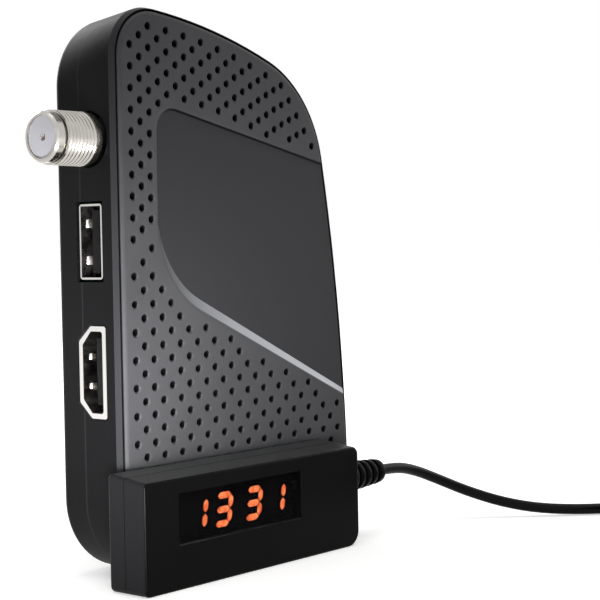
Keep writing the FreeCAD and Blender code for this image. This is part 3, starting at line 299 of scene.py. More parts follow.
# ranges of the normal's Y that tell the cover's slopes from its flats, and its holes from its slopes
COVER_STEEP = (-0.995, -0.985)
COVER_SHALLOW = (-0.86, -0.83)
COVER_HOLE = (-0.5, -0.3)
# ranges of the normal's Z
COVER_UPWARD = (0.02, 0.16)
COVER_DOWNWARD = (-0.3, -0.1)
# where in X the painted highlight on the bevel turns from dark to pale
BEVEL_HIGHLIGHT_SPAN = (-18 * MM, 24 * MM)
BEVEL_HIGHLIGHT_DARK_END = 0.15
EDGE_SHADOW_SHADE = 0.15
HOLE_PAINTED_SHADE = 0.6
FACE_GRAIN = 0.22 * MM
FACE_GRAIN_DEPTH = 9 * MICRON
PANEL_GRAIN_DEPTH = 2 * MICRON
FACE_ROUGHNESS = 0.55
PANEL_ROUGHNESS = 0.38


def cover_plastic():
    """ABS cover: matt spark-eroded face and a smoother sunk panel, with a painted shadow along its upper
    edge, painted shade in the holes, and a painted highlight on the bevel below it that gets paler to the
    right.
    """
    material, tree, shader = start_material("ABS_cover_spark_textured")
    face_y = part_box("front_cover")[0].y
    place = own_place(tree)
    depth = place["Y"]
    normal = own_normal(tree)
    facing = normal["Y"]
    in_panel = spread(tree, depth, 0, 1, *(face_y + behind for behind in COVER_PANEL))
    sunk = spread(tree, depth, 0, 1, *(face_y + behind for behind in COVER_SUNK))
    steep = spread(tree, facing, 0, 1, *COVER_STEEP)
    shallow = spread(tree, facing, 1, 0, *COVER_SHALLOW)
    upward = spread(tree, normal["Z"], 0, 1, *COVER_UPWARD)
    downward = spread(tree, normal["Z"], 1, 0, *COVER_DOWNWARD)
    edge = product(tree, steep, sunk)
    bevel = product(tree, product(tree, edge, shallow), upward)
    painted_edge_shadow = product(tree, edge, downward)
    bevel_highlight_ramp = spread(tree, place["X"], 0, 1, *BEVEL_HIGHLIGHT_SPAN)
    inside = spread(tree, facing, 0, 1, *COVER_HOLE)
    patch = noise(tree, 12 * MM, 3)
    face = blend_colours(tree, spread(tree, patch, 0, 1),
                         shade(COLOURS.cover, 0.94), shade(COLOURS.cover, 1.05))
    tint = blend_colours(tree, in_panel, face, tuple(COLOURS.panel))
    # painted highlight on the bevel below the panel, darker at its left end and palest at its right
    bevel_highlight_tint = blend_colours(tree, bevel_highlight_ramp, shade(COLOURS.bevel, BEVEL_HIGHLIGHT_DARK_END), tuple(COLOURS.bevel))
    tint = blend_colours(tree, bevel, tint, bevel_highlight_tint)
    # painted shadow along the panel's upper edge, where the step faces down
    tint = blend_colours(tree, painted_edge_shadow, tint, shade(COLOURS.panel, EDGE_SHADOW_SHADE))
    # painted shade on the walls of the holes
    tint = blend_colours(tree, inside, tint, shade(COLOURS.case, HOLE_PAINTED_SHADE))
    grain = noise(tree, FACE_GRAIN, 3, roughness=0.6)
    level = spread(tree, in_panel, FACE_GRAIN_DEPTH, PANEL_GRAIN_DEPTH, 0, 1)
    bump = add_node(tree, "ShaderNodeBump", {"Height": grain, "Strength": 1.0, "Distance": level})
    dullness = spread(tree, in_panel, FACE_ROUGHNESS, PANEL_ROUGHNESS, 0, 1)
    tree.links.new(tint, shader.inputs["Base Color"])
    tree.links.new(dullness, shader.inputs["Roughness"])
    tree.links.new(bump.outputs[0], shader.inputs["Normal"])
    set_shader(shader, Specular_IOR_Level=0.1)
    return material


TRACK_SPACING = 6 * MM
TRACK_SHARE = 0.06
MASK_STEP = 30 * MICRON


def solder_mask():
    """Green epoxy mask over copper: tracks show as a lighter green under it."""
    material, tree, shader = start_material("Epoxy_solder_mask_green")
    cells = add_node(tree, "ShaderNodeTexBrick", {
        "Vector": place_of(tree), "Scale": 1 / TRACK_SPACING, "Mortar Size": TRACK_SHARE,
        "Color1": (0, 0, 0, 1), "Color2": (0.1, 0.1, 0.1, 1), "Mortar": (1, 1, 1, 1),
    }).outputs["Fac"]
    tint = blend_colours(tree, cells, linear("#0c4a24"), linear("#1d6b3a"))
    tree.links.new(tint, shader.inputs["Base Color"])
    bump = add_node(tree, "ShaderNodeBump", {"Height": cells, "Strength": 1.0, "Distance": MASK_STEP})
    tree.links.new(bump.outputs[0], shader.inputs["Normal"])
    set_shader(shader, Roughness=0.32)
    return material


def smoked_acrylic():
    """Smoked cast acrylic: dark, glossy, and thin enough to see the lamps through."""
    material, tree, shader = start_material("Acrylic_smoked")
    haze = noise(tree, 4 * MM, 2)
    tree.links.new(spread(tree, haze, 0.06, 0.12), shader.inputs["Roughness"])
    tint = blend_colours(tree, haze, linear("#050505"), linear("#080708"))
    tree.links.new(tint, shader.inputs["Base Color"])
    set_shader(shader, Alpha=0.5, Specular_IOR_Level=0.02)
    return material


def glowing_bar():
    """Diffused light bar: a little uneven from the chips behind it."""
    material, tree, shader = start_material("Diffused_lamp_bar_orange")
    chips = noise(tree, 1.1 * MM, 1)
    tint = blend_colours(tree, spread(tree, chips, 0, 1), shade(COLOURS.digits, 0.5), linear("#ff8653"))
    tree.links.new(tint, shader.inputs["Emission Color"])
    tree.links.new(tint, shader.inputs["Base Color"])
    set_shader(shader, Roughness=0.5, Emission_Strength=5.0)
    return material


def brushed_film():
    """Silver polyester film with a faint brushed grain and nothing printed on it."""
    material, tree, shader = start_material("Polyester_film_silver")
    streaks = noise(tree, 0.4 * MM, 2, (0.05, 1, 1))
    tint = blend_colours(tree, streaks, linear("#9b9ca0"), linear("#b4b5b8"))
    bump = add_node(tree, "ShaderNodeBump", {"Height": streaks, "Strength": 1.0, "Distance": 4 * MICRON})
    tree.links.new(tint, shader.inputs["Base Color"])
    tree.links.new(bump.outputs[0], shader.inputs["Normal"])
    set_shader(shader, Roughness=0.42, Specular_IOR_Level=0.4)
    return material


def dress(material, *names):
    """Give CAD nodes their finish."""
    for name in names:
        data = NODES[name].data
        data.materials.clear()
        data.materials.append(material)


# ---- modelling -------------------------------------------------------------------------------
def deselect():
    if bpy.context.object and bpy.context.object.mode != "OBJECT":
        bpy.ops.object.mode_set(mode="OBJECT")
    bpy.ops.object.select_all(action="DESELECT")


def begin_edit(select="SELECT", kind="VERT"):
    bpy.ops.object.mode_set(mode="EDIT")
    bpy.ops.mesh.select_mode(type=kind)
    bpy.ops.mesh.select_all(action=select)


def end_edit():
    bpy.ops.object.mode_set(mode="OBJECT")


def pick(piece, kind, wanted):
    """Go into edit mode with only the piece's faces or edges selected that pass a test."""
    begin_edit("DESELECT", kind)
    end_edit()
    for item in piece.data.polygons if kind == "FACE" else piece.data.edges:
        item.select = wanted(item)
    bpy.ops.object.mode_set(mode="EDIT")


def tidy_mesh():
    """Merge doubles and point the faces outwards."""
    begin_edit()
    bpy.ops.mesh.remove_doubles(threshold=2 * MICRON)
    bpy.ops.mesh.dissolve_degenerate(threshold=1 * MICRON)
    bpy.ops.mesh.normals_make_consistent(inside=False)
    end_edit()


def apply_modifier(piece, kind, **settings):
    """Add a modifier and apply it."""
    made = piece.modifiers.new(kind.lower(), kind)
    for key, value in settings.items():
        setattr(made, key, value)
    bpy.context.view_layer.objects.active = piece
    bpy.ops.object.modifier_apply(modifier=made.name)


def draw_profile(points):
    """A chain of edges in the XZ plane through (along, radius) points in millimetres."""
    deselect()
    bpy.ops.mesh.primitive_plane_add(size=MM)
    begin_edit()
    bpy.ops.mesh.merge(type="CENTER")
    last = Vector()
    for i, (along, radius) in enumerate(points):
        spot = Vector((along, 0, radius)) * MM
        if i:
            bpy.ops.mesh.extrude_region_move(TRANSFORM_OT_translate={"value": spot - last})
        else:
            bpy.ops.transform.translate(value=spot)
        last = spot
    end_edit()
    return bpy.context.object


def lathe(name, points, steps=48):
    """Turn a profile about the X axis into a closed shape."""
    piece = draw_profile(points)
    piece.name = name
    begin_edit()
    bpy.ops.mesh.spin(steps=steps, angle=math.tau, center=(0, 0, 0), axis=(1, 0, 0))
    end_edit()
    tidy_mesh()
    return piece


def block(name, low, high):
    """A box between two corners in millimetres."""
    deselect()
    low = Vector(low) * MM
    high = Vector(high) * MM
    bpy.ops.mesh.primitive_cube_add(size=1, location=(low + high) / 2)
    piece = bpy.context.object
    piece.name = name
    piece.scale = high - low
    bpy.ops.object.transform_apply(location=True, rotation=True, scale=True)
    return piece


def join(pieces):
    """Join pieces into the first one."""
    deselect()
    for piece in pieces:
        piece.select_set(True)
    bpy.context.view_layer.objects.active = pieces[0]
    bpy.ops.object.join()
    return pieces[0]


def settle(piece, place=(0, 0, 0), yaw=0.0, smooth=35):
    """Move a piece drawn at the origin to its place, in millimetres, and set its shading."""
    deselect()
    piece.select_set(True)
    bpy.context.view_layer.objects.active = piece
    turned = Matrix.Translation(Vector(place) * MM) @ Matrix.Rotation(yaw, 4, "Z")
    piece.matrix_world = turned @ piece.matrix_world
    bpy.ops.object.transform_apply(location=True, rotation=True, scale=True)
    bpy.ops.object.shade_smooth_by_angle(angle=math.radians(smooth))
    return piece


def hand_over(piece, body, material, stands_for=()):
    """Finish a piece: its material, the body that it moves with, and what it stands for."""
    piece.data.materials.clear()
    piece.data.materials.append(material)
    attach(piece, body)
    if stands_for:
        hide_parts(*stands_for)
    return piece


# ---- stage -----------------------------------------------------------------------------------
def background_rays(tree):
    """One for the rays that see the background: camera, glossy and transmission."""
    path = add_node(tree, "ShaderNodeLightPath")
    seen = add_node(tree, "ShaderNodeMath", {
        0: path.outputs["Is Camera Ray"], 1: path.outputs["Is Glossy Ray"],
    }, operation="MAXIMUM")
    return add_node(tree, "ShaderNodeMath", {
        0: seen.outputs[0], 1: path.outputs["Is Transmission Ray"],
    }, operation="MAXIMUM").outputs[0]


def area_lamp(name, place, aim, width, height, watts, grid=180):
    """A soft box at a place, turned to its aim, in millimetres; grid is the angle it throws light over."""
    lamp = bpy.data.lights.new(name, "AREA")
    lamp.shape = "RECTANGLE"
    lamp.size = width * MM
    lamp.size_y = height * MM
    lamp.energy = watts
    lamp.spread = math.radians(grid)
    holder = bpy.data.objects.new(name, lamp)
    bpy.context.scene.collection.objects.link(holder)
    holder.location = Vector(place) * MM
    holder.rotation_mode = "QUATERNION"
    heading = (Vector(aim) - Vector(place)) * MM
    holder.rotation_quaternion = heading.to_track_quat("-Z", "Y")
    return holder


FLOOR_SHADE_NEAR = 60 * MM
FLOOR_SHADE_FAR = 350 * MM


def floor_material():
    """Matt white paper sweep that keeps the object's shadow."""
    material, tree, shader = start_material("Paper_sweep_white")
    fibres = noise(tree, 0.8 * MM, 2)
    tint = blend_colours(tree, fibres, linear("#e9e9e8"), linear("#ededec"))
    tree.links.new(tint, shader.inputs["Base Color"])
    away = add_node(tree, "ShaderNodeVectorMath", {"Vector": place_of(tree)}, operation="LENGTH")
    level = spread(tree, away.outputs["Value"], STAGE.floor_level, 1.0, FLOOR_SHADE_NEAR, FLOOR_SHADE_FAR)
    glow = product(tree, background_rays(tree), level)
    tree.links.new(glow, shader.inputs["Emission Strength"])
    set_shader(shader, Roughness=0.95, Specular_IOR_Level=0.0, Emission_Color=(1, 1, 1, 1))
    return material


def make_camera():
    """The camera: well to the left of the receiver's face, a little above its middle."""
    data = bpy.data.cameras.new("camera")
    data.lens = STAGE.lens
    data.sensor_width = 36
    data.clip_start = 10 * MM
    data.clip_end = 50
    camera = bpy.data.objects.new("camera", data)
    bpy.context.scene.collection.objects.link(camera)
    facing = Matrix.Rotation(STAGE.azimuth, 4, "Z") @ Matrix.Rotation(math.pi / 2 - STAGE.elevation, 4, "X")
    lean = Matrix.Rotation(STAGE.roll, 4, "Z")
    camera.matrix_world = Matrix.Translation(Vector(STAGE.place)) @ facing @ lean
    bpy.context.scene.camera = camera


def make_world():
    """White where it is seen, and a softer level where it lights."""
    world = bpy.data.worlds.new("studio")
    bpy.context.scene.world = world
    world.use_nodes = True
    tree = world.node_tree
    tree.nodes.clear()
    level = add_node(tree, "ShaderNodeMapRange", {
        "Value": background_rays(tree), "To Min": STAGE.world_level, "To Max": 1.0,
    })
    light = add_node(tree, "ShaderNodeBackground", {"Color": (1, 1, 1, 1), "Strength": level.outputs[0]})
    add_node(tree, "ShaderNodeOutputWorld", {"Surface": light.outputs[0]})


class RECEIVER_OT_stage(Operator):
    """Set the floor, the soft light and the camera"""

    bl_idname = "receiver.stage"
    bl_label = "Stage"

    def execute(self, context):
        deselect()
        bpy.ops.mesh.primitive_plane_add(size=STAGE.floor_size)
        floor = context.object
        floor.name = "floor"
        floor.data.materials.append(floor_material())
        make_camera()
        make_world()
        area_lamp("key", place=(-330, -520, 200), aim=(0, 0, 40), width=360, height=360, watts=0.35)
        area_lamp("low_strip", place=(-100, -66, 10), aim=(-44, -7, 30), width=60, height=30,
                  watts=0.068, grid=60)
        area_lamp("right_box", place=(560, -150, 260), aim=(0, 0, 50), width=160, height=420, watts=0.6)
        area_lamp("top_box", place=(0, -60, 650), aim=(0, -10, 40), width=500, height=500, watts=2.2)
        area_lamp("back_box", place=(120, 620, 330), aim=(0, 0, 40), width=420, height=320, watts=2.0)
        settings = context.scene.view_settings
        settings.view_transform = "Standard"
        return {"FINISHED"}


# ---- lead of the display unit ----------------------------------------------------------------
LEAD_OUT = [
    (34.2, -12.4, 12.6), (40.4, -12.4, 12.6), (46.2, -12.9, 11.3), (51.9, -14.6, 8.9), (57.6, -18.0, 5.9),
    (63.2, -23.56, 3.2), (69.0, -29.36, 1.6), (76.0, -36.36, 1.1), (84.15, -44.51, 1.4),
]
# from the end of the coil's last turn to the plug
LEAD_PLUG = [(78.0, -75.3, 8.15), (72.5, -75.3, 8.15), (65.5, -74.9, 3.0), (58.5, -74.9, 3.0)]
COIL_CENTRE = (78.0, -60.0)
COIL_LOW = 1.4
COIL_COLUMNS = 4
COIL_LAYERS = 4
COIL_POINTS = 16
COIL_START = 45
COIL_EXIT_TURNS = 0.375
COIL_CORNER_CUT = 1.41
TIE_TURN = 190
TIE_STAND_OFF = 1.25
TIE_HALF_WIDE = 1.5
TIE_FLOOR_GAP = 0.12
TIE_CORNER = 1.2
TIE_THICK = 0.3
TWIST_RADIUS = 0.35
TWIST_PITCH = 2.4
TWIST_TURNS = 3
TWIST_HEIGHT = 0.6
TWIST_OVERLAP = 0.2
PLUG_YAW = 180
GRIP_RADIUS = 2.9
GRIP_GROOVE_RADIUS = 2.62
GRIP_GROOVES = 5
GRIP_FIRST_GROOVE = 6.6
GRIP_GROOVE_STEP = 1.6


def coil_spot(turns):
    """Radius step and height step of the winding after so many turns, in pitches.

    Each layer is a spiral of three turns, and one more turn climbs to the next layer.
    """
    spiral = COIL_COLUMNS - 1
    layer, along = divmod(turns, spiral + 1)
    climb = max(0.0, along - spiral)
    steps = min(along, spiral)
    inward = steps if layer % 2 == 0 else spiral - steps
    height = layer + math.sin(climb * math.pi / 2)
    return inward, height


def lead_route():
    """Control points of the whole lead in metres: out, round the coil, and to the plug.

    The smooth curve cuts the corners at its control points, so the coil's stand a little further out.
    """
    pitch = SIZES.coil_pitch / MM
    outer = SIZES.coil_outer / MM
    inside_corner = math.cos(math.pi / COIL_POINTS / COIL_CORNER_CUT)
    turns = COIL_LAYERS * COIL_COLUMNS - 1 + COIL_EXIT_TURNS
    count = round(turns * COIL_POINTS)
    points = list(LEAD_OUT)
    for i in range(1, count + 1):
        done = i / COIL_POINTS
        inward, height = coil_spot(done)
        radius = (outer - inward * pitch) / inside_corner
        angle = math.radians(COIL_START) - done * math.tau
        points.append((
            COIL_CENTRE[0] + radius * math.cos(angle),
            COIL_CENTRE[1] + radius * math.sin(angle),
            COIL_LOW + min(height, COIL_LAYERS - 1) * pitch,
        ))
    points += LEAD_PLUG[1:]
    return [Vector(p) * MM for p in points]


def lead_curve():
    """The lead as one smooth NURBS curve."""
    curve = bpy.data.curves.new("lead", "CURVE")
    curve.dimensions = "3D"
    curve.bevel_depth = SIZES.lead_diameter / 2
    curve.bevel_resolution = 4
    curve.resolution_u = 4
    curve.use_fill_caps = True
    route = lead_route()
    spline = curve.splines.new("NURBS")
    spline.points.add(len(route) - 1)
    for point, spot in zip(spline.points, route):
        point.co = (*spot, 1.0)
    spline.order_u = 3
    spline.use_endpoint_u = True
    lead = bpy.data.objects.new("lead", curve)
    bpy.context.scene.collection.objects.link(lead)
    return lead


def runs_across(piece, edge):
    """Whether an edge of a piece runs along Y."""
    first, second = (piece.data.vertices[i].co for i in edge.vertices)
    return abs(first.y - second.y) > 1 * MM


def coil_tie():
    """A coated wire tie: a band round the turns and two twisted tails."""
    inner = SIZES.coil_outer / MM - (COIL_COLUMNS - 1) * SIZES.coil_pitch / MM - TIE_STAND_OFF
    outer = SIZES.coil_outer / MM + TIE_STAND_OFF
    high = COIL_LOW + (COIL_LAYERS - 1) * SIZES.coil_pitch / MM + TIE_STAND_OFF
    band = block("coil_tie", (inner, -TIE_HALF_WIDE, TIE_FLOOR_GAP), (outer, TIE_HALF_WIDE, high))
    pick(band, "FACE", lambda face: abs(face.normal.y) > 0.9)
    bpy.ops.mesh.delete(type="FACE")
    end_edit()
    pick(band, "EDGE", lambda edge: runs_across(band, edge))
    bpy.ops.mesh.bevel(offset=TIE_CORNER * MM, segments=5)
    end_edit()
    apply_modifier(band, "SOLIDIFY", thickness=TIE_THICK * MM, offset=1.0)
    tails = []
    for side in (0, 1):
        tail = draw_profile([(along, TWIST_RADIUS) for along in (0, 0.5, 1.0)])
        apply_modifier(tail, "SCREW", axis="X", angle=math.tau, steps=20, render_steps=20,
                       screw_offset=TWIST_PITCH * MM, iterations=TWIST_TURNS)
        apply_modifier(tail, "SOLIDIFY", thickness=TIE_THICK * MM, offset=0.0)
        place = (outer * MM - TWIST_OVERLAP * MM, 0, TWIST_HEIGHT * high * MM)
        tail.data.transform(Matrix.Translation(place) @ Matrix.Rotation(side * math.pi, 4, "X"))
        tails.append(tail)
    tie = join([band, *tails])
    return settle(tie, (*COIL_CENTRE, 0), math.radians(TIE_TURN), 40)


def plug_grip():
    """Moulded grip with finger rings, and a tapered tail."""
    points = [(-0.2, 0.0), (-0.2, 1.3), (0.2, 1.6), (4.4, 2.15), (5.2, 2.5), (6.0, GRIP_RADIUS)]
    for groove in range(GRIP_GROOVES):
        start = GRIP_FIRST_GROOVE + groove * GRIP_GROOVE_STEP
        points += [(start, GRIP_RADIUS), (start + 0.25, GRIP_GROOVE_RADIUS),
                   (start + 0.75, GRIP_GROOVE_RADIUS), (start + 1.0, GRIP_RADIUS)]
    points += [(15.3, GRIP_RADIUS), (16.2, 2.65), (16.5, 2.3), (16.5, 0.0)]
    return settle(lathe("plug_grip_moulded", points), LEAD_PLUG[-1], math.radians(PLUG_YAW), 30)


class RECEIVER_OT_lead(Operator):
    """Lay the display's lead: out to the right, a tied coil and its plug"""

    bl_idname = "receiver.lead"
    bl_label = "Lead"

    def execute(self, context):
        # PVC jacket, extruded: smooth, a soft shine along its length
        jacket = moulded("PVC_lead_jacket", linear("#080809"), 0.5 * MM, 3 * MICRON, 0.28, 0.08)
        # PVC over wire: black with a soft gloss
        coated = moulded("PVC_coated_wire", linear("#101010"), 0.3 * MM, 6 * MICRON, 0.3, 0.2)
        # flexible PVC moulded over the plug, matt
        grip_vinyl = moulded("PVC_overmoulded", linear("#0d0d0e"), 0.25 * MM, 8 * MICRON, 0.5, 0.15)
        lead = lead_curve()
        tie = coil_tie()
        grip = plug_grip()
        hand_over(lead, "display_unit", jacket, ("cord_run", "cord_coil", "cord_tail"))
        hand_over(tie, "display_unit", coated, ("cord_tie",))
        hand_over(grip, "display_unit", grip_vinyl, ("plug_grip",))
        # gold flash on turned brass
        dress(plated("Gold_flash_on_brass", linear("#d9b36a"), 0.22, 0.15 * MM, 2 * MICRON, (8, 1, 1)),
              "plug_pin")
        # hard insulating rings, turned flush with the pin
        dress(moulded("Nylon_rings_black", linear("#101010"), 0.2 * MM, 2 * MICRON, 0.4, 0.4), "plug_rings")
        return {"FINISHED"}


# ---- strain relief ---------------------------------------------------------------------------
RELIEF_TAPER = 0.068
RELIEF_FIRST_GROOVE = 2.4
RELIEF_PLAIN_END = 2.0
# along from the groove's corner, and down from the outside
RELIEF_GROOVE = [
    (-0.22, 0.0), (-0.06, 0.07), (0.0, 0.22), (0.08, 0.66),
    (0.57, 0.66), (0.65, 0.22), (0.71, 0.07), (0.87, 0.0),
]


def relief_profile(start, end):
    """Pairs of length and radius in millimetres: a collar and rings with rounded edges."""
    def outside(x):
        return SIZES.relief_radius / MM - (x - start) * RELIEF_TAPER

    points = [(20.2, 0.0), (20.2, 3.0), (21.1, 3.0), (21.1, 2.0), (start + 0.05, 2.0), (start + 0.05, 2.9),
              (start + 0.12, 3.06), (start + 0.3, outside(start))]
    x = start + RELIEF_FIRST_GROOVE
    while x < end - RELIEF_PLAIN_END:
        points += [(x + along, outside(x) - sunk) for along, sunk in RELIEF_GROOVE]
        x += SIZES.relief_step / MM
    tip = outside(end)
    return points + [(end - 0.5, tip), (end - 0.25, tip - 0.08), (end - 0.05, tip - 0.35), (end, tip - 0.6),
                     (end, 0.0)]


def relief_piece():
    """Flexible boot: a collar against the unit and rings that get smaller towards the lead."""
    low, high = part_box("strain_relief")
    centre = (low + high) / 2 / MM
    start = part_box("display_front")[1].x / MM
    boot = lathe("relief_boot", relief_profile(start, high.x / MM), 48)
    return settle(boot, (0, centre.y, centre.z), 0.0, 50)


class RECEIVER_OT_strain_relief(Operator):
    """Model the ribbed boot where the lead leaves the display unit"""

    bl_idname = "receiver.strain_relief"
    bl_label = "Strain relief"

    def execute(self, context):
        # flexible PVC, moulded over the lead: black with a dull shine
        vinyl = moulded("PVC_boot_moulded", linear("#060606"), 0.3 * MM, 4 * MICRON, 0.3, 0.02)
        hand_over(relief_piece(), "display_unit", vinyl, ("strain_relief",))
        return {"FINISHED"}


# ---- receiver shells -------------------------------------------------------------------------
class RECEIVER_OT_shells(Operator):
    """Finish the receiver's shells, feet, screws and label"""

    bl_idname = "receiver.shells"
    bl_label = "Shells"

    def execute(self, context):
        # ABS, moulded with a fine eroded texture: nearly black, a dull shine; a painted highlight on its
        # rounded front edges, and a pale mould line
        case = moulded("ABS_case_fine_textured", tuple(COLOURS.case), 0.2 * MM, 5 * MICRON, 0.45, 0.05,
                       rim_highlight=tuple(COLOURS.rim_highlight), witness=2.2 * MM)
        # black oxide on steel: dark, oily shine
        oxide = plated("Steel_black_oxide", linear("#2c2c2e"), 0.38, 0.2 * MM, 3 * MICRON)
        # silicone rubber, moulded: matt black
        silicone = moulded("Silicone_rubber_feet", linear("#151515"), 0.3 * MM, 10 * MICRON, 0.7, 0.1)
        dress(case, "rear_case")
        # ABS, spark-eroded: matt mid grey, with a darker smooth panel, a painted highlight on the bevel that
        # ends pale, and painted shade along the panel's upper edge and in the holes
        dress(cover_plastic(), "front_cover")
        dress(oxide, "case_screws")
        dress(silicone, "rubber_feet")
        # brushed polyester film: silver with streaks across
        dress(brushed_film(), "rating_label")
        return {"FINISHED"}


# ---- aerial socket ---------------------------------------------------------------------------
def aerial_thread():
    """Threaded barrel with its plain nose, modelled about the X axis from its tip."""
    low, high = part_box("aerial_socket_barrel")
    pitch = SIZES.thread_pitch / MM
    crest = 4.7
    root = crest - SIZES.thread_depth / MM
    turns = 8
    nose = 1.9
    profile = [(0, root), (0.12 * pitch, root), (0.44 * pitch, crest), (0.62 * pitch, crest),
               (0.94 * pitch, root), (pitch, root)]
    thread = draw_profile(profile)
    apply_modifier(thread, "SCREW", axis="X", angle=math.tau, steps=48, render_steps=48,
                   screw_offset=SIZES.thread_pitch, iterations=turns, use_merge_vertices=True,
                   merge_threshold=2 * MICRON)
    seam_behind = Matrix.Rotation(math.radians(-110), 4, "X")
    thread.data.transform(Matrix.Translation(((nose + 0.05) * MM, 0, 0)) @ seam_behind)
    begin_edit()
    bpy.ops.mesh.remove_doubles(threshold=3 * MICRON)
    bpy.ops.mesh.select_all(action="DESELECT")
    bpy.ops.mesh.select_non_manifold()
    bpy.ops.mesh.edge_face_add()
    bpy.ops.mesh.select_all(action="SELECT")
    bpy.ops.mesh.normals_make_consistent(inside=False)
    end_edit()
    tip = lathe("aerial_nose", [
        (6.0, 3.62), (0.0, 3.62), (0.0, 4.02), (0.32, 4.35), (nose - 0.3, 4.35), (nose - 0.26, 4.0),
        (nose, 4.0), (nose + 0.04, 4.66), (nose + 0.3, 4.66), (nose + 0.4, 4.1), (6.0, 4.1), (6.0, 3.62),
    ], 64)
    washer = lathe("aerial_neck", [
        (8.6, 0.0), (8.6, 4.72), (9.5, 4.72), (9.5, 4.45), (12.0, 4.45), (12.0, 0.0),
    ], 64)
    barrel = join([thread, tip, washer])
    barrel.name = "aerial_thread"
    centre = (low + high) / 2
    return settle(barrel, (low.x / MM, centre.y / MM, centre.z / MM), 0.0, 24)


class RECEIVER_OT_aerial_socket(Operator):
    """Model the threaded aerial socket with its bush"""

    bl_idname = "receiver.aerial_socket"
    bl_label = "Aerial socket"

    def execute(self, context):
        # nickel on turned brass: bright, warm white, with fine turning lines round it
        nickel = plated("Nickel_on_turned_brass", tuple(COLOURS.nickel), 0.2, 0.12 * MM, 3 * MICRON,
                        (6, 1, 1))
        hand_over(aerial_thread(), "receiver", nickel, ("aerial_socket_barrel",))
        # polypropylene bush, moulded: white with a cool cast
        dress(moulded("Polypropylene_bush_white", tuple(COLOURS.bush), 0.5 * MM, 4 * MICRON, 0.4, 0.4, 0.03),
              "aerial_socket_bush")
        # gold flash on a stamped contact: a warm dot in the bush
        dress(plated("Gold_flash_contact", linear("#c9a25c"), 0.3, 0.2 * MM, 2 * MICRON),
              "aerial_socket_contact")
        return {"FINISHED"}


# ---- data and video sockets ------------------------------------------------------------------
LEAF_LONG = 4.8
LEAF_CREST = 1.9
LEAF_RISE = 0.62
LEAF_TAPER = 1.5
LEAF_TIP = 0.72
LEAF_THICK = 0.18
LEAF_EDGE = 0.05
# which wall each leaf stands on, and how far from the socket's middle
DATA_LEAVES = ((1, 3.2), (1, -3.2), (-1, 3.2), (-1, -3.2))
DATA_LEAF_DEPTH = 1.3
DATA_LEAF_WIDE = 1.9
DATA_WALL = 0.3
VIDEO_LEAVES = ((1, 2.6), (1, -2.6))
VIDEO_LEAF_DEPTH = 1.6
VIDEO_LEAF_WIDE = 1.4
VIDEO_WALL = 0.95


def leaf_spring(name, mouth, side, centre_z, width, wall_y):
    """A bent leaf that rises from the shell's wall, in millimetres; side is its wall."""
    deselect()
    bpy.ops.mesh.primitive_grid_add(x_subdivisions=10, y_subdivisions=2, size=1)
    leaf = bpy.context.object
    leaf.name = name
    begin_edit()
    bpy.ops.transform.resize(value=(LEAF_LONG * MM, width * MM, 1))
    end_edit()
    for vertex in leaf.data.vertices:
        along = vertex.co.x / MM + LEAF_LONG / 2
        if along < LEAF_CREST:
            rise = LEAF_RISE * math.sin(along / LEAF_CREST * math.pi / 2)
        else:
            rise = LEAF_RISE * (LEAF_LONG - along) / (LEAF_LONG - LEAF_CREST)
        narrow = min(1.0, LEAF_TIP + (1 - LEAF_TIP) * along / LEAF_TAPER)
        vertex.co = (along * MM, vertex.co.y * narrow, rise * MM)
    leaf.data.transform(Matrix.Rotation(math.radians(90 * side), 4, "X"))
    apply_modifier(leaf, "SOLIDIFY", thickness=LEAF_THICK * MM, offset=0.0)
    apply_modifier(leaf, "BEVEL", width=LEAF_EDGE * MM, segments=2)
    return settle(leaf, (mouth, wall_y, centre_z), 0.0, 40)


class RECEIVER_OT_data_socket(Operator):
    """Finish the data socket and model its leaf springs"""

    bl_idname = "receiver.data_socket"
    bl_label = "Data socket"

    def execute(self, context):
        # nickel on rolled steel: bright with faint rolling lines
        shell = plated("Nickel_on_rolled_steel", linear("#c9c7c4"), 0.26, 0.2 * MM, 2 * MICRON, (1, 6, 1))
        low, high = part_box("usb_shell")
        low, high = low / MM, high / MM
        middle = (low.z + high.z) / 2
        for i, (side, spot) in enumerate(DATA_LEAVES):
            wall = high.y - DATA_WALL if side > 0 else low.y + DATA_WALL
            leaf = leaf_spring(f"data_spring_{i}", low.x + DATA_LEAF_DEPTH, side, middle + spot,
                               DATA_LEAF_WIDE, wall)
            hand_over(leaf, "receiver", shell)
        dress(shell, "usb_shell")
        # glass-filled nylon, moulded: black and slightly rough
        dress(moulded("Nylon_tongue_black", linear("#0a0a0b"), 0.25 * MM, 5 * MICRON, 0.55, 0.1),
              "usb_tongue", "hdmi_tongue")
        # gold flash: brown-gold lines deep in the sockets, painted darker for the shade there
        dress(plated("Gold_flash_strips", linear("#665436"), 0.28, 0.2 * MM, 2 * MICRON),
              "usb_contacts", "hdmi_contacts")
        return {"FINISHED"}


class RECEIVER_OT_video_socket(Operator):
    """Finish the video socket and model its leaf springs"""

    bl_idname = "receiver.video_socket"
    bl_label = "Video socket"

    def execute(self, context):
        # nickel on rolled steel, polished: a little brighter than the data socket
        shell = plated("Nickel_on_rolled_steel_lip", linear("#d6d4d1"), 0.2, 0.3 * MM, 2 * MICRON, (1, 4, 1))
        low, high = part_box("hdmi_shell")
        low, high = low / MM, high / MM
        middle = (low.z + high.z) / 2
        for i, (side, spot) in enumerate(VIDEO_LEAVES):
            leaf = leaf_spring(f"video_spring_{i}", low.x + VIDEO_LEAF_DEPTH, side, middle + spot,
                               VIDEO_LEAF_WIDE, high.y - VIDEO_WALL)
            hand_over(leaf, "receiver", shell)
        dress(shell, "hdmi_shell")
        return {"FINISHED"}


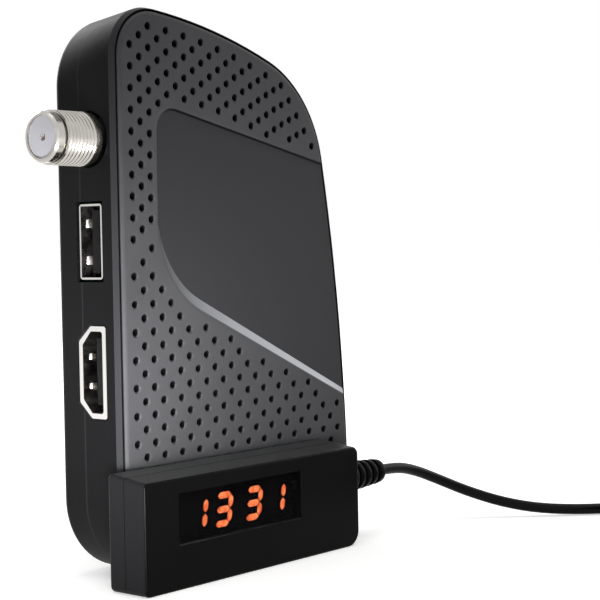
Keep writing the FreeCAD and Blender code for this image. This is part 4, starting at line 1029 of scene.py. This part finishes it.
# ---- right side ------------------------------------------------------------------------------
class RECEIVER_OT_side_jacks(Operator):
    """Finish the jacks on the right side"""

    bl_idname = "receiver.side_jacks"
    bl_label = "Side jacks"

    def execute(self, context):
        # PBT, moulded: black with a low shine
        dress(moulded("PBT_jack_black", linear("#0d0d0e"), 0.25 * MM, 4 * MICRON, 0.4, 0.15),
              "power_jack", "av_jack", "display_jack")
        # nickel on a turned pin: a bright dot in the power socket
        dress(plated("Nickel_pin", linear("#c4c0ba"), 0.25, 0.15 * MM, 2 * MICRON, (6, 1, 1)), "power_pin")
        return {"FINISHED"}


# ---- boards ----------------------------------------------------------------------------------
class RECEIVER_OT_boards(Operator):
    """Finish the boards and the parts on them"""

    bl_idname = "receiver.boards"
    bl_label = "Boards"

    def execute(self, context):
        # solder mask over copper: dark green with lighter tracks
        dress(solder_mask(), "main_board", "display_board")
        # hot-dipped tin on steel: pale grey with a soft spangle
        dress(plated("Tinned_steel_spangled", linear("#b9bab6"), 0.36, 1.2 * MM, 4 * MICRON),
              "tuner_can", "tuner_lid", "crystal")
        # epoxy moulding compound: charcoal, fine matt grain
        dress(moulded("Epoxy_package_black", linear("#202123"), 0.12 * MM, 4 * MICRON, 0.6, 0.3),
              "tuner_chip", "processor", "memory_chip", "flash_chip", "regulators", "driver_chip")
        # filled silicone, cut from sheet: matt blue-grey with a crumbly grain
        dress(moulded("Silicone_thermal_pad", linear("#7a8794"), 0.6 * MM, 20 * MICRON, 0.8, 0.2),
              "thermal_pad")
        # extruded aluminium: satin, with draw lines along its fins
        dress(plated("Aluminium_extruded", linear("#b8babc"), 0.4, 0.3 * MM, 4 * MICRON, (1, 1, 8)),
              "heatsink", "capacitors")
        # pressed ferrite: charcoal, gritty
        dress(moulded("Ferrite_pressed", linear("#38383a"), 0.4 * MM, 15 * MICRON, 0.7, 0.3), "power_coils")
        return {"FINISHED"}


# ---- display unit ----------------------------------------------------------------------------
class RECEIVER_OT_display_unit(Operator):
    """Finish the clock display: housing, smoked window and lit bars"""

    bl_idname = "receiver.display_unit"
    bl_label = "Display unit"

    def execute(self, context):
        # ABS, moulded in a fine-textured tool: black and satin, with a painted highlight on its top
        # and its ends
        housing = moulded("ABS_housing_satin", tuple(COLOURS.unit), 0.18 * MM, 1 * MICRON, 0.32, 0.04,
                          sheen=0.21, rim_highlight=shade(COLOURS.rim_highlight, 0.33), turned=(-0.3, 2))
        dress(housing, "display_front", "display_back")
        # smoked acrylic: nearly black, with the lit bars shining through
        dress(smoked_acrylic(), "display_window")
        # diffuser lit from behind: orange-red, a little uneven
        dress(glowing_bar(), "lit_bars")
        # unlit diffuser: milky resin, painted near black for the shade behind the window
        dress(moulded("Diffuser_unlit", linear("#0d0a0a"), 0.4 * MM, 3 * MICRON, 0.5, 0.02), "unlit_bars")
        # filled nylon of the lamp block: near black, so that only the bars show
        dress(moulded("Lamp_block_black", linear("#050505"), 0.4 * MM, 4 * MICRON, 0.6, 0.02),
              "digit_block", "remote_eye")
        # black oxide on small screws: dark with an oily shine
        dress(plated("Steel_black_oxide_small", linear("#2a2a2c"), 0.4, 0.2 * MM, 3 * MICRON),
              "display_screws")
        # acrylic foam: matt, open grain
        dress(moulded("Acrylic_foam_pad", linear("#232324"), 0.35 * MM, 40 * MICRON, 0.9, 0.1), "sticky_pad")
        return {"FINISHED"}


# ---- panel in the sidebar --------------------------------------------------------------------
STEPS = (
    RECEIVER_OT_stage, RECEIVER_OT_lead, RECEIVER_OT_strain_relief, RECEIVER_OT_shells,
    RECEIVER_OT_aerial_socket, RECEIVER_OT_data_socket, RECEIVER_OT_video_socket, RECEIVER_OT_side_jacks,
    RECEIVER_OT_boards, RECEIVER_OT_display_unit,
)
GROUPS = (ReceiverSizes, ReceiverColours, ReceiverStage)


class RECEIVER_PT_panel(Panel):
    """Lists the pieces and the values that they use"""

    bl_idname = "RECEIVER_PT_panel"
    bl_label = "Receiver"
    bl_space_type = "VIEW_3D"
    bl_region_type = "UI"
    bl_category = "Receiver"

    def draw(self, context):
        scene = context.scene
        for group in (scene.receiver_sizes, scene.receiver_colours, scene.receiver_stage):
            box = self.layout.box()
            for key in group.__annotations__:
                box.prop(group, key)
        for step in STEPS:
            self.layout.operator(step.bl_idname)


def register():
    for item in (*GROUPS, *STEPS, RECEIVER_PT_panel):
        bpy.utils.register_class(item)
    bpy.types.Scene.receiver_sizes = PointerProperty(type=ReceiverSizes)
    bpy.types.Scene.receiver_colours = PointerProperty(type=ReceiverColours)
    bpy.types.Scene.receiver_stage = PointerProperty(type=ReceiverStage)


def unregister():
    for key in ("receiver_sizes", "receiver_colours", "receiver_stage"):
        delattr(bpy.types.Scene, key)
    for item in reversed((*GROUPS, *STEPS, RECEIVER_PT_panel)):
        bpy.utils.unregister_class(item)


def main():
    """Register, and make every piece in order."""
    global SIZES, COLOURS, STAGE
    register()
    scene = bpy.context.scene
    SIZES = scene.receiver_sizes
    COLOURS = scene.receiver_colours
    STAGE = scene.receiver_stage
    for step in STEPS:
        group, name = step.bl_idname.split(".")
        getattr(getattr(bpy.ops, group), name)()


if __name__ == "__main__":
    main()
